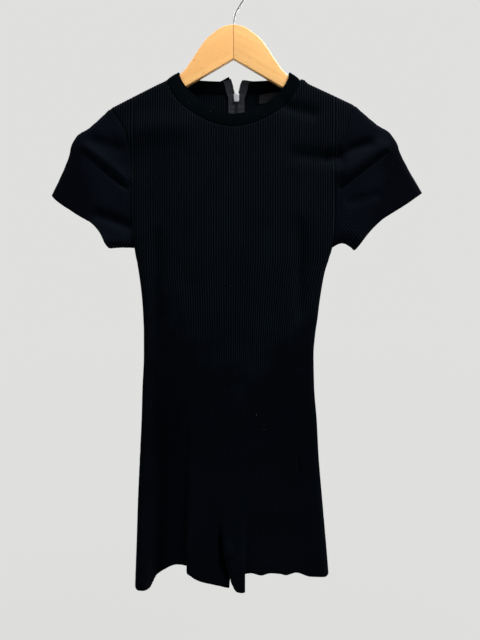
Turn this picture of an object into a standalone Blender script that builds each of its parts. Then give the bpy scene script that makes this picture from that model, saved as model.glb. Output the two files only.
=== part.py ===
"""Short-sleeved romper in black rib knit, hung on a flat wooden hanger with a steel hook.

Metres. +Z is up, +X is to the right and -Y is towards the viewer, as seen from the front. The origin
is the inner top of the hook's bend, where a rail or peg carries the hanger. Left and right are as
seen from the front. The cloth is a thin wall whose outer face is worked out from the tables below;
neighbouring panels share their seam lines and stand a hair apart there.
"""

import math
from typing import NamedTuple

import bmesh
import bpy
from mathutils import Vector

# Cloth
PANEL_WALL = 0.0015
BAND_WALL = 0.0022
SEAM_GAP = 0.0004
PIECE_GAP = 0.0003
LAYERS = {"front": -1.0, "back": 1.0}
SIDES = {"left": -1.0, "right": 1.0}

# Rows and columns of a body panel
COLUMNS = 16
NECK_COLUMNS = 9
TOP_ROWS = (0.0, 0.005, 0.015, 0.045, 0.10, 0.20, 0.34, 0.50, 0.67, 0.84, 0.94, 1.0)
LOW_ROWS = (-0.455, -0.500, -0.548, -0.600, -0.655, -0.705, -0.752, -0.790, -0.820, -0.838, -0.848)
LEG_ROWS = (0.0, 0.5, 1.0)
PATH_SAMPLES = 240

# The cloth's ridge over the hanger's arms
ARM_DEPTH = 0.0100
ARM_ROUND = 0.0100
RIDGE_SLOPE = 0.60
NECK_X = 0.102
NECK_CROWDING = math.radians(72.0)
NECK_FAN = 0.007
NECK_FAN_ROWS = 0.045
NECK_FAN_FALL = 0.56
NECK_Z = -0.1550
SHOULDER = {"left": (-0.1905, -0.2000), "right": (0.1865, -0.1945)}

# Neckline: quarter curves |x/a|^n + |z/b|^n = 1, below the neck's side points
NECK_DROP = {"front": 0.0775, "back": 0.0165}
NECK_POWER = {"front": 1.7, "back": 2.2}
BAND_TOP_X = 0.0866
BAND_TOP_Z = -0.1430
BAND_TOP_DROP = {"front": 0.0705, "back": 0.0090}
BAND_CENTRE_DEPTH = {"front": 0.0160, "back": 0.0108}
BAND_CROWN = 0.0006
BAND_LEAN = 0.3
BAND_TURNOVER = 0.004

# Underarm, side seams, crotch and legs
UNDERARM_Z = -0.415
ARMPIT_ROUND = 0.030
SIDE_ROUND = 0.010
FORK_TOP_Z = -0.815
CROTCH_Z = -0.852
FORK_ROUND = 0.010
LEG_GAP = 0.0015
LEG_PARTING = 0.020
HEM_Z = -0.915

# Zip down the centre back
ZIP_X = 0.0045
ZIP_CLOSING = 0.055
ZIP_BOTTOM_Z = -0.600
TAPE_TOP_Z = -0.153
TAPE_BOTTOM_Z = -0.606
TAPE_PARTING = 0.002
TAPE_OUT = 0.0130
TAPE_WALL = 0.0009
TAPE_INSET = 0.0026
CHAIN_TOP_Z = -0.1795
CHAIN_HALF = 0.0024
CHAIN_THICK = 0.0022
STOP_TALL = 0.0032
STOP_THICK = 0.0028
SLIDER_TOP_Z = -0.1720
SLIDER_TALL = 0.0130
SLIDER_WIDE = 0.0092
PLATE_THICK = 0.0013
PLATE_GAP = 0.0030
SLIDER_SUNK = 0.0004
NECK_BLOCK = (0.0026, 0.0042)
BRIDGE_WIRE = 0.0006
BRIDGE_REACH = 0.0032
BRIDGE_HALF = 0.0030
BRIDGE_STEPS = 8
PULL_BAR = 0.00055
PULL_AXIS_OUT = 0.0014
PULL_AXIS_UP = 0.62
PULL_LONG = 0.0280
PULL_WIDE = 0.0068
PULL_THICK = 0.0009
PULL_EYE = (0.0040, 0.0052)

# Label in the back neck
LABEL_X = (0.0400, 0.0740)
LABEL_Z = (-0.1740, -0.1900)
LABEL_WALL = 0.0008
LABEL_GAP = 0.0007
LABEL_STEPS = 5

# Hanger
WOOD_THICK = 0.012
WOOD_BEVEL = 0.0022
HALVES_GAP = 0.0003
WIRE_RADIUS = 0.0019
BEND_RADIUS = 0.0190
BEND_STEPS = 22
HOOK_START = math.radians(-31.0)
HOOK_END = math.radians(200.0)
KNEE_ROUND = 0.010
KNEE_STEPS = 5
STEM_HOLE = 0.0023
STEM_DEPTH = 0.020
STEM_CLEAR = 0.0015
HANGER_TOP_Z = -0.070


class Outline(NamedTuple):
    """The body's two edges, as seen from the front, at one height."""

    z: float
    left: float
    right: float


class Depth(NamedTuple):
    """How far the two layers stand out from the hanger's plane, at the middle and at the sides."""

    z: float
    front: float
    back: float
    edge: float


class Pleat(NamedTuple):
    """A fold's edge: the layer steps out by step to the right of it, from its start to the hem."""

    start_x: float
    hem_x: float
    start_z: float
    step: float
    half_width: float


class Hem(NamedTuple):
    """The height of a leg's hem at one place across."""

    x: float
    z: float


class Line(NamedTuple):
    """Where a line that runs down the garment lies across it, at one height."""

    x: float
    z: float


class Sleeve(NamedTuple):
    """A sleeve's hem corners, and how far its underarm edge arches."""

    outer: tuple
    inner: tuple
    arch: float


class Lift(NamedTuple):
    """How far the sleeve's top line stands off the straight line from shoulder to hem."""

    along: float
    lift: float


ARMHOLE = (
    Outline(-0.1945, -0.1950, 0.1865),
    Outline(-0.2000, -0.1905, 0.1850),
    Outline(-0.2185, -0.1770, 0.1780),
    Outline(-0.2400, -0.1650, 0.1720),
    Outline(-0.2710, -0.1578, 0.1597),
    Outline(-0.3000, -0.1563, 0.1566),
    Outline(-0.3600, -0.1580, 0.1566),
    Outline(-0.4150, -0.1535, 0.1505),
)
BODY = (
    Outline(-0.415, -0.1535, 0.1505),
    Outline(-0.452, -0.1460, 0.1393),
    Outline(-0.496, -0.1412, 0.1320),
    Outline(-0.545, -0.1383, 0.1250),
    Outline(-0.580, -0.1378, 0.1234),
    Outline(-0.630, -0.1396, 0.1242),
    Outline(-0.681, -0.1410, 0.1283),
    Outline(-0.737, -0.1448, 0.1318),
    Outline(-0.802, -0.1472, 0.1369),
    Outline(-0.867, -0.1486, 0.1424),
    Outline(-0.930, -0.1505, 0.1474),
)
DEPTHS = (
    Depth(-0.150, 0.0155, 0.0110, 0.0100),
    Depth(-0.233, 0.0190, 0.0120, 0.0100),
    Depth(-0.415, 0.0170, 0.0125, 0.0095),
    Depth(-0.580, 0.0150, 0.0120, 0.0090),
    Depth(-0.700, 0.0165, 0.0130, 0.0095),
    Depth(-0.800, 0.0160, 0.0150, 0.0105),
    Depth(-0.930, 0.0140, 0.0165, 0.0115),
)
PLEATS = {
    "front": (
        Pleat(-0.300, -0.300, -0.730, 0.0170, 0.006),
        Pleat(-0.121, -0.122, -0.730, -0.0240, 0.007),
        Pleat(-0.068, -0.067, -0.700, 0.0360, 0.006),
        Pleat(-0.024, -0.004, -0.825, 0.0080, 0.006),
        Pleat(0.0170, 0.0165, -0.790, -0.0380, 0.006),
    ),
    "back": (
        Pleat(-0.105, -0.100, -0.720, 0.0090, 0.012),
        Pleat(-0.052, -0.060, -0.690, -0.0100, 0.010),
        Pleat(0.0380, 0.0450, -0.700, 0.0110, 0.012),
        Pleat(0.0950, 0.1020, -0.740, -0.0100, 0.012),
    ),
}
FRONT_HEM = (
    Hem(-0.160, -0.930),
    Hem(-0.140, -0.930),
    Hem(-0.128, -0.927),
    Hem(-0.116, -0.908),
    Hem(-0.072, -0.902),
    Hem(-0.062, -0.912),
    Hem(-0.034, -0.917),
    Hem(0.0050, -0.917),
    Hem(0.0140, -0.921),
    Hem(0.0200, -0.913),
    Hem(0.1400, -0.916),
    Hem(0.1600, -0.916),
)
BACK_HEM = (
    Hem(-0.160, -0.930),
    Hem(-0.140, -0.930),
    Hem(-0.110, -0.915),
    Hem(-0.034, -0.917),
    Hem(0.0050, -0.917),
    Hem(0.1400, -0.916),
    Hem(0.1600, -0.916),
)
CENTRE_LINE = (
    Line(0.0000, -0.600),
    Line(-0.009, -0.720),
    Line(-0.025, -0.850),
    Line(-0.002, -0.915),
)
# Half widths between the fold lines of the cloth, and between the two tapes
ZIP_OPENING = (
    Line(0.0158, -0.152),
    Line(0.0060, -0.172),
    Line(0.0055, -0.190),
    Line(0.0055, -0.600),
    Line(0.0000, -0.655),
)
COIL_OPENING = (
    Line(0.0118, -0.1520),
    Line(0.0016, -0.1765),
    Line(0.0003, -0.1800),
    Line(0.0003, -0.6100),
)

SLEEVES = {
    "left": Sleeve((-0.2795, -0.334), (-0.195, -0.415), 0.001),
    "right": Sleeve((0.2900, -0.330), (0.187, -0.418), 0.009),
}
SLEEVE_LIFT = (
    Lift(0.0, 0.0),
    Lift(0.14, 0.0025),
    Lift(0.27, 0.0076),
    Lift(0.40, 0.0190),
    Lift(0.48, 0.0185),
    Lift(0.60, 0.0105),
    Lift(0.79, 0.0050),
    Lift(1.0, 0.0),
)
SLEEVE_STEPS = (0.0, 0.14, 0.27, 0.40, 0.57, 0.78, 1.0)
SLEEVE_DEPTH = {"front": 0.0180, "back": 0.0140}
HEM_TOP_ROUND = 0.015
HEM_LOW_ROUND = 0.016
SLEEVE_BOW = {"front": 0.0090, "back": 0.0020}

# Left half of the wooden hanger, clockwise from the top of the middle: (x, z, smooth)
WOOD_OUTLINE = (
    (0.0000, -0.0700, False),
    (-0.0158, -0.0736, True),
    (-0.0301, -0.0826, True),
    (-0.0426, -0.0933, True),
    (-0.0532, -0.1074, True),
    (-0.0639, -0.1240, True),
    (-0.0820, -0.1470, True),
    (-0.1020, -0.1600, True),
    (-0.1500, -0.1845, True),
    (-0.1865, -0.2050, True),
    (-0.2040, -0.2240, True),
    (-0.2120, -0.2360, True),
    (-0.2080, -0.2430, True),
    (-0.1960, -0.2370, True),
    (-0.0716, -0.1660, False),
    (0.0000, -0.1239, False),
)


def smooth_step(value):
    """Rises from 0 to 1 as value goes from 0 to 1, flat at both ends."""
    t = min(max(value, 0.0), 1.0)
    return t * t * (3.0 - 2.0 * t)


def cap(distance, radius):
    """A quarter round: 0 at an edge, 1 once radius away from it."""
    t = min(max(distance / radius, 0.0), 1.0)
    return math.sqrt(1.0 - (1.0 - t) ** 2)


def read(rows, where, name, key="z"):
    """The named column at a place along the key column, on a smooth curve through the rows."""
    at = [getattr(row, key) for row in rows]
    value = [getattr(row, name) for row in rows]
    if at[0] > at[-1]:
        at.reverse()
        value.reverse()
    if where <= at[0]:
        return value[0]
    if where >= at[-1]:
        return value[-1]
    i = max(k for k in range(len(at) - 1) if at[k] <= where)
    slopes = [(value[k + 1] - value[k]) / (at[k + 1] - at[k]) for k in range(len(at) - 1)]

    def tangent(k):
        if k == 0 or k == len(at) - 1:
            return slopes[min(k, len(slopes) - 1)]
        before, after = slopes[k - 1], slopes[k]
        return 0.0 if before * after <= 0 else 2.0 * before * after / (before + after)

    span = at[i + 1] - at[i]
    t = (where - at[i]) / span
    start = (1 + 2 * t) * (1 - t) ** 2 * value[i] + t * (1 - t) ** 2 * span * tangent(i)
    end = t * t * (3 - 2 * t) * value[i + 1] - t * t * (1 - t) * span * tangent(i + 1)
    return start + end


def ridge_z(x):
    """The height of the cloth's ridge over the hanger's arm."""
    far, low = SHOULDER["left" if x < 0 else "right"]
    if abs(x) < NECK_X:
        return NECK_Z + RIDGE_SLOPE * (NECK_X - abs(x))
    return NECK_Z + (low - NECK_Z) * (abs(x) - NECK_X) / (abs(far) - NECK_X)


def side_x(side, z):
    """The body's edge: the armhole seam above the underarm, the side seam below it."""
    return read(ARMHOLE if z > UNDERARM_Z else BODY, z, side)


def centre_x(layer, side, z):
    """A panel's inner edge: the centre seam, the zip's opening or the inseam."""
    sign = SIDES[side]
    line = read(CENTRE_LINE, z, "x")
    if layer == "back" and z > ZIP_OPENING[-1].z:
        line += (ZIP_X - line) * smooth_step((z - ZIP_OPENING[-1].z) / ZIP_CLOSING)
        line += sign * read(ZIP_OPENING, z, "x")
    gap = LEG_GAP * smooth_step((CROTCH_Z - z) / LEG_PARTING)
    return line + sign * (SEAM_GAP / 2 + gap)


def depth(layer, x, z):
    """How far a layer stands out from the hanger's plane, with its pleats, before its edges close."""
    left, right = side_x("left", z), side_x("right", z)
    across = (2 * x - left - right) / (right - left)
    edge = read(DEPTHS, z, "edge")
    out = edge + (read(DEPTHS, z, layer) - edge) * max(0.0, 1.0 - across**2)
    for pleat in PLEATS[layer]:
        ramp = smooth_step((pleat.start_z - z) / (pleat.start_z - HEM_Z))
        line = pleat.start_x + (pleat.hem_x - pleat.start_x) * ramp
        out += pleat.step * ramp * smooth_step(0.5 + (x - line) / (2 * pleat.half_width))
    return out


def layer_point(layer, x, z, inner, outer):
    """A point of the cloth's outer face, in a row that runs from inner to outer across the panel.

    The two layers meet over the hanger's arm, at the side seam and in the fork of the legs.
    """
    out = depth(layer, x, z) * cap(ridge_z(x) - z, ARM_ROUND)
    closed = 1.0 if z <= UNDERARM_Z else 1.0 - cap(z - UNDERARM_Z, ARMPIT_ROUND)
    out *= 1.0 - closed + closed * cap(abs(outer - x), SIDE_ROUND)
    down = min(max((FORK_TOP_Z - z) / (FORK_TOP_Z - CROTCH_Z), 0.0), 1.0)
    forked = 1.0 - math.sqrt(1.0 - down**2)
    out *= 1.0 - forked + forked * cap(abs(x - inner), FORK_ROUND)
    return Vector((x, LAYERS[layer] * out, z))


def hem_z(layer, x):
    """The height of the leg's hem."""
    return read(FRONT_HEM if layer == "front" else BACK_HEM, x, "z", key="x")


def spread(path, count):
    """count + 1 points at equal distances along a path."""
    lengths = [0.0]
    for a, b in zip(path, path[1:]):
        lengths.append(lengths[-1] + (b - a).length)
    points = [path[0]]
    k = 0
    for i in range(1, count):
        target = lengths[-1] * i / count
        while lengths[k + 1] < target:
            k += 1
        t = (target - lengths[k]) / (lengths[k + 1] - lengths[k])
        points.append(path[k].lerp(path[k + 1], t))
    return [*points, path[-1]]


def section(layer, side, height):
    """One row of a panel below the underarm. height(x) is the row's height at x."""
    inner = centre_x(layer, side, height(CENTRE_LINE[-1].x))
    outer = side_x(side, height(side_x(side, HEM_Z)))
    path = []
    for k in range(PATH_SAMPLES + 1):
        t = 0.5 - 0.5 * math.cos(math.pi * k / PATH_SAMPLES)
        x = inner + (outer - inner) * t
        path.append(layer_point(layer, x, height(x), inner, outer))
    return spread(path, COLUMNS)


def neck_point(layer, side, turn):
    """A point of the seam between body and neckband."""
    power = NECK_POWER[layer]
    inner = centre_x(layer, side, NECK_Z - NECK_DROP[layer])
    reach = SIDES[side] * NECK_X
    x = inner + (reach - inner) * math.sin(turn) ** (2.0 / power)
    drop = max(0.0, 1.0 - abs(x / NECK_X) ** power) ** (1.0 / power)
    return layer_point(layer, x, NECK_Z - NECK_DROP[layer] * drop, inner, SHOULDER[side][0])


def neck_turns(layer, side):
    """Turns round a quarter of the neckline, from the centre to the shoulder, closer near the shoulder."""
    turns = [math.radians(90.0) * k / PATH_SAMPLES for k in range(PATH_SAMPLES + 1)]
    points = [neck_point(layer, side, turn) for turn in turns]
    lengths = [0.0]
    for a, b in zip(points, points[1:]):
        lengths.append(lengths[-1] + (b - a).length)
    chosen = [turns[0]]
    k = 0
    for i in range(1, NECK_COLUMNS):
        share = math.sin(NECK_CROWDING * i / NECK_COLUMNS) / math.sin(NECK_CROWDING)
        while lengths[k + 1] < share * lengths[-1]:
            k += 1
        chosen.append(turns[k])
    return [*chosen, turns[-1]]


def band_top_point(layer, side, turn):
    """A point of the neckband's free edge."""
    power = NECK_POWER[layer]
    inner = centre_x(layer, side, BAND_TOP_Z - BAND_TOP_DROP[layer])
    reach = SIDES[side] * BAND_TOP_X
    x = inner + (reach - inner) * math.sin(turn) ** (2.0 / power)
    share = abs(x / BAND_TOP_X)
    z = BAND_TOP_Z - BAND_TOP_DROP[layer] * max(0.0, 1.0 - share**power) ** (1.0 / power)
    out = ARM_DEPTH + (BAND_CENTRE_DEPTH[layer] - ARM_DEPTH) * (1.0 - share**2)
    below_ridge = BAND_TOP_Z + RIDGE_SLOPE * (BAND_TOP_X - abs(x)) - z
    return Vector((x, LAYERS[layer] * out * cap(below_ridge, ARM_ROUND), z))


def top_edge(layer, side):
    """A panel's top edge: round the neck to the shoulder seam, then along it to the armhole."""
    edge = [neck_point(layer, side, turn) for turn in neck_turns(layer, side)]
    far, _ = SHOULDER[side]
    start = SIDES[side] * NECK_X
    steps = COLUMNS - NECK_COLUMNS
    for k in range(1, steps + 1):
        x = start + (far - start) * k / steps
        edge.append(Vector((x, 0.0, ridge_z(x))))
    return edge


def panel(layer, side):
    """A body panel's outer face, as rows of points from its top edge to the hem."""
    top = top_edge(layer, side)
    bust = section(layer, side, lambda x: UNDERARM_Z)
    fan = [math.sin(turn) ** 4 for turn in neck_turns(layer, side)]
    fan += [1.0 - k / (COLUMNS - NECK_COLUMNS) for k in range(1, COLUMNS - NECK_COLUMNS + 1)]
    rows = []
    for v in TOP_ROWS[:-1]:
        heights = [a.z + (UNDERARM_Z - a.z) * v for a in top]
        inner = centre_x(layer, side, heights[0])
        outer = side_x(side, heights[-1])
        row = []
        for a, b, z, weight in zip(top, bust, heights, fan):
            share_top = (a.x - top[0].x) / (top[-1].x - top[0].x)
            share_low = (b.x - bust[0].x) / (bust[-1].x - bust[0].x)
            x = inner + (outer - inner) * (share_top + (share_low - share_top) * v)
            fanned = NECK_FAN * weight * cap(v, NECK_FAN_ROWS) * (1.0 - v)
            x += SIDES[side] * fanned
            row.append(layer_point(layer, x, z - NECK_FAN_FALL * fanned, inner, outer))
        rows.append(top if v == 0.0 else row)
    rows.append(bust)
    rows += [section(layer, side, lambda x, z=z: z) for z in LOW_ROWS]
    for f in LEG_ROWS:
        rows.append(section(layer, side, lambda x, f=f: CROTCH_Z + f * (hem_z(layer, x) - CROTCH_Z)))
    return rows


def sleeve(side, armhole):
    """A sleeve's outer face, as rings from the armhole to the hem. armhole has its first ring by layer."""
    corners = SLEEVES[side]
    shoulder = armhole["front"][0]
    pit = armhole["front"][-1]
    outer = Vector((corners.outer[0], 0.0, corners.outer[1]))
    inner = Vector((corners.inner[0], 0.0, corners.inner[1]))
    along = (outer - shoulder).normalized()
    up = Vector((-along.z, 0.0, along.x)) * SIDES[side]
    rings = []
    for s in SLEEVE_STEPS:
        top = shoulder.lerp(outer, s) + up * read(SLEEVE_LIFT, s, "lift", key="along")
        low = pit.lerp(inner, s) + Vector((0.0, 0.0, corners.arch * math.sin(math.pi * s)))
        halves = {}
        for layer, sign in LAYERS.items():
            half = []
            for v, seam in zip(TOP_ROWS, armhole[layer]):
                even = v + (0.5 - 0.5 * math.cos(math.pi * v) - v) * s
                point = top.lerp(low, even)
                straight = shoulder.lerp(pit, v)
                bend = Vector((seam.x - straight.x, 0.0, seam.z - straight.z))
                point += bend * (1.0 - s) ** 2
                point += up * SLEEVE_BOW[layer] * s * s * math.sin(math.pi * even)
                out = ARM_DEPTH + (SLEEVE_DEPTH[layer] - ARM_DEPTH) * s
                out *= cap((point - top).length, ARM_ROUND + (HEM_TOP_ROUND - ARM_ROUND) * s)
                out *= cap((point - low).length, ARMPIT_ROUND + (HEM_LOW_ROUND - ARMPIT_ROUND) * s)
                out += (abs(seam.y) - out) * (1.0 - smooth_step(s / SLEEVE_STEPS[1]))
                point.y = sign * out
                half.append(seam.copy() if s == 0.0 else point)
            halves[layer] = half
        rings.append(halves["front"] + halves["back"][-2:0:-1])
    return [list(row) for row in zip(*rings)]


def neckband():
    """The neckband's outer face, round from one side of the zip to the other."""
    route = [("back", "left", turn) for turn in neck_turns("back", "left")]
    route += [("front", "left", turn) for turn in neck_turns("front", "left")[-2::-1]]
    route += [("front", "right", turn) for turn in neck_turns("front", "right")[1:]]
    route += [("back", "right", turn) for turn in neck_turns("back", "right")[-2::-1]]
    rows = []
    for layer, side, turn in route:
        low = neck_point(layer, side, turn)
        high = band_top_point(layer, side, turn)
        middle = low.lerp(high, 0.5)
        over_arm = abs(middle.y) <= BAND_TURNOVER
        outward = Vector((0.0, 0.0 if over_arm else LAYERS[layer], BAND_LEAN)).normalized()
        rows.append([high, middle + outward * BAND_CROWN, low])
    return rows


def place_key(point):
    """Points that are this near each other lie on one seam."""
    return tuple(round(c, 5) for c in point)


def quads(rows, columns, closed):
    """Index pairs of a grid's faces. A closed grid's rows join round."""
    for i in range(rows if closed else rows - 1):
        for j in range(columns - 1):
            k = (i + 1) % rows
            yield (i, j), (k, j), (k, j + 1), (i, j + 1)


class Cloth(NamedTuple):
    """A piece of cloth before it is given its thickness."""

    grid: list
    wall: float
    flip: bool
    closed: bool


def seam_normals(pieces):
    """The outward direction at every place, shared by the pieces that meet there."""
    totals = {}
    for cloth in pieces.values():
        grid = cloth.grid
        for face in quads(len(grid), len(grid[0]), cloth.closed):
            a, b, c, d = (grid[i][j] for i, j in face)
            normal = (c - a).cross(d - b)
            if cloth.flip:
                normal.negate()
            for point in (a, b, c, d):
                key = place_key(point)
                totals[key] = totals.get(key, Vector()) + normal
    return {key: total.normalized() for key, total in totals.items()}


def trimmed(grid, closed):
    """The grid with its edges drawn in by half a seam's gap."""
    rows, columns = len(grid), len(grid[0])
    out = [[point.copy() for point in row] for row in grid]
    for i in range(rows):
        for j, inside in ((0, 1), (columns - 1, columns - 2)):
            out[i][j] += (grid[i][inside] - grid[i][j]).normalized() * SEAM_GAP / 2
    if not closed:
        for j in range(columns):
            for i, inside in ((0, 1), (rows - 1, rows - 2)):
                out[i][j] += (grid[inside][j] - grid[i][j]).normalized() * SEAM_GAP / 2
    return out


def new_material(name, colour, roughness, metallic=0.0):
    """A plain Principled material."""
    material = bpy.data.materials.new(name)
    material.use_nodes = True
    shader = material.node_tree.nodes["Principled BSDF"]
    shader.inputs["Base Color"].default_value = (*colour, 1.0)
    shader.inputs["Roughness"].default_value = roughness
    shader.inputs["Metallic"].default_value = metallic
    return material


def add_object(name, data, material, collection):
    """Links a mesh or curve as a named object with its material."""
    obj = bpy.data.objects.new(name, data)
    data.materials.append(material)
    collection.objects.link(obj)
    return obj


def cloth_object(name, cloth, normals, material, collection):
    """A closed wall: the outer face, an inner face one wall's thickness in, and the rim between them."""
    grid = cloth.grid
    rows, columns = len(grid), len(grid[0])
    drawn_in = trimmed(grid, cloth.closed)
    mesh = bmesh.new()
    outer, inner = {}, {}
    for i in range(rows):
        for j in range(columns):
            normal = normals[place_key(grid[i][j])]
            outer[i, j] = mesh.verts.new(drawn_in[i][j])
            inner[i, j] = mesh.verts.new(drawn_in[i][j] - normal * cloth.wall)
    for face in quads(rows, columns, cloth.closed):
        mesh.faces.new([outer[at] for at in face])
        mesh.faces.new([inner[at] for at in reversed(face)])
    first = [(i, 0) for i in range(rows)]
    last = [(i, columns - 1) for i in reversed(range(rows))]
    if cloth.closed:
        rims = [[*first, first[0]], [*last, last[0]]]
    else:
        end = [(rows - 1, j) for j in range(1, columns)]
        start = [(0, j) for j in range(columns - 2, -1, -1)]
        rims = [[*first, *end, *last[1:], *start]]
    for edge in rims:
        for a, b in zip(edge, edge[1:]):
            mesh.faces.new([outer[b], outer[a], inner[a], inner[b]])
    if cloth.flip:
        bmesh.ops.reverse_faces(mesh, faces=mesh.faces)
    data = bpy.data.meshes.new(name)
    mesh.to_mesh(data)
    mesh.free()
    return add_object(name, data, material, collection)


def build_garment(collection):
    """Body panels, sleeves and neckband."""
    knit = new_material("black rib knit", (0.012, 0.012, 0.014), 0.9)
    band_knit = new_material("black neckband knit", (0.012, 0.012, 0.014), 0.9)
    pieces = {}
    for side in SIDES:
        armhole = {}
        for layer in LAYERS:
            rows = panel(layer, side)
            armhole[layer] = [row[-1] for row in rows[: len(TOP_ROWS)]]
            flip = (layer == "front") == (side == "left")
            pieces[f"{layer}_{side}"] = Cloth(rows, PANEL_WALL, flip, False)
        pieces[f"sleeve_{side}"] = Cloth(sleeve(side, armhole), PANEL_WALL, side == "left", True)
    pieces["neckband"] = Cloth(neckband(), BAND_WALL, True, False)
    normals = seam_normals(pieces)
    for name, cloth in pieces.items():
        cloth_object(name, cloth, normals, band_knit if name == "neckband" else knit, collection)


def back_y(x, z):
    """How far out the back's outer face is near the zip and label."""
    return layer_point("back", x, z, ZIP_X, SIDES["right"]).y


def strip_object(name, rows, material, collection):
    """A bar lofted through quadrilateral sections, each a list of four points in order."""
    mesh = bmesh.new()
    rings = [[mesh.verts.new(point) for point in row] for row in rows]
    for a, b in zip(rings, rings[1:]):
        for k in range(4):
            n = (k + 1) % 4
            mesh.faces.new([a[k], a[n], b[n], b[k]])
    mesh.faces.new(rings[0][::-1])
    mesh.faces.new(rings[-1])
    bmesh.ops.recalc_face_normals(mesh, faces=mesh.faces)
    data = bpy.data.meshes.new(name)
    mesh.to_mesh(data)
    mesh.free()
    return add_object(name, data, material, collection)


def bar_section(x_low, x_high, y_low, y_high, z):
    """The four corners of a level bar section."""
    corners = ((x_low, y_low), (x_high, y_low), (x_high, y_high), (x_low, y_high))
    return [Vector((x, y, z)) for x, y in corners]


def zip_heights(top, bottom, steps=18):
    """Heights down the zip, closer together where it opens."""
    return [top + (bottom - top) * (k / steps) ** 1.6 for k in range(steps + 1)]


def build_zip(collection):
    """Two tapes, the closed chain, its bottom stop, the slider and the pull that hangs from it."""
    tape = new_material("charcoal zip tape", (0.03, 0.03, 0.034), 0.85)
    teeth = new_material("black zip chain", (0.025, 0.025, 0.028), 0.45)
    for side, sign in SIDES.items():
        rows = []
        for z in zip_heights(TAPE_TOP_Z, TAPE_BOTTOM_Z):
            beside_chain = CHAIN_HALF + PIECE_GAP if z < CHAIN_TOP_Z + TAPE_PARTING else 0.0
            coil = max(read(COIL_OPENING, z, "x"), beside_chain)
            edges = sorted(ZIP_X + sign * reach for reach in (coil, coil + TAPE_OUT - CHAIN_HALF))
            y = back_y(ZIP_X, z) - TAPE_INSET
            rows.append(bar_section(*edges, y - TAPE_WALL, y, z))
        strip_object(f"zip_tape_{side}", rows, tape, collection)
    chain_bar("zip_chain", zip_heights(CHAIN_TOP_Z, ZIP_BOTTOM_Z), CHAIN_THICK, teeth, collection)
    metal = new_material("silver zip metal", (0.62, 0.62, 0.60), 0.35, 1.0)
    stop_top = ZIP_BOTTOM_Z - PIECE_GAP
    chain_bar("zip_stop", (stop_top, stop_top - STOP_TALL), STOP_THICK, metal, collection)
    build_slider(metal, collection)


def tape_y(z):
    """How far out the middle of the tape's thickness lies."""
    return back_y(ZIP_X, z) - TAPE_INSET - TAPE_WALL / 2


def chain_bar(name, heights, thick, material, collection):
    """A bar as wide as the chain, along the tapes' middle."""
    low, high = ZIP_X - CHAIN_HALF, ZIP_X + CHAIN_HALF
    rows = [bar_section(low, high, tape_y(z) - thick / 2, tape_y(z) + thick / 2, z) for z in heights]
    strip_object(name, rows, material, collection)


def box_mesh(mesh, low, high):
    """Adds a box between two corners to a mesh."""
    made = bmesh.ops.create_cube(mesh, size=1.0)["verts"]
    size = Vector(high) - Vector(low)
    middle = (Vector(high) + Vector(low)) / 2
    for vert in made:
        vert.co = Vector([vert.co[k] * size[k] + middle[k] for k in range(3)])


def object_from(mesh, name, material, collection):
    """Makes an object of a finished bmesh."""
    data = bpy.data.meshes.new(name)
    mesh.to_mesh(data)
    mesh.free()
    return add_object(name, data, material, collection)


def union(target, other):
    """Joins other into target with a Boolean modifier, and hides it as a tool."""
    join = target.modifiers.new(f"join {other.name}", "BOOLEAN")
    join.operation = "UNION"
    join.solver = "EXACT"
    join.object = other
    as_tool(other)


def as_tool(obj):
    """Marks an object that only shapes another one."""
    tools = bpy.data.collections["tools"]
    for owner in list(obj.users_collection):
        owner.objects.unlink(obj)
    tools.objects.link(obj)
    obj.hide_render = True
    obj.display_type = "WIRE"


def tube(name, points, radius, material, collection, resolution=2):
    """A round bar along points, as a closed mesh."""
    curve = bpy.data.curves.new(name, "CURVE")
    curve.dimensions = "3D"
    curve.bevel_depth = radius
    curve.bevel_resolution = resolution
    curve.use_fill_caps = True
    spline = curve.splines.new("POLY")
    spline.points.add(len(points) - 1)
    for slot, point in zip(spline.points, points):
        slot.co = (*point, 1.0)
    source = bpy.data.objects.new(f"{name} curve", curve)
    collection.objects.link(source)
    bpy.context.view_layer.update()
    data = bpy.data.meshes.new_from_object(source.evaluated_get(bpy.context.evaluated_depsgraph_get()))
    bpy.data.objects.remove(source)
    mesh = bmesh.new()
    mesh.from_mesh(data)
    bmesh.ops.remove_doubles(mesh, verts=mesh.verts, dist=0.00001)
    bmesh.ops.recalc_face_normals(mesh, faces=mesh.faces)
    mesh.to_mesh(data)
    mesh.free()
    data.name = name
    data.materials.clear()
    return add_object(name, data, material, collection)


def slider_box(name, wide, y_span, z_span, metal, collection):
    """A box of the slider, centred on the zip."""
    mesh = bmesh.new()
    low = (ZIP_X - wide / 2, min(y_span), min(z_span))
    high = (ZIP_X + wide / 2, max(y_span), max(z_span))
    box_mesh(mesh, low, high)
    return object_from(mesh, name, metal, collection)


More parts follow.
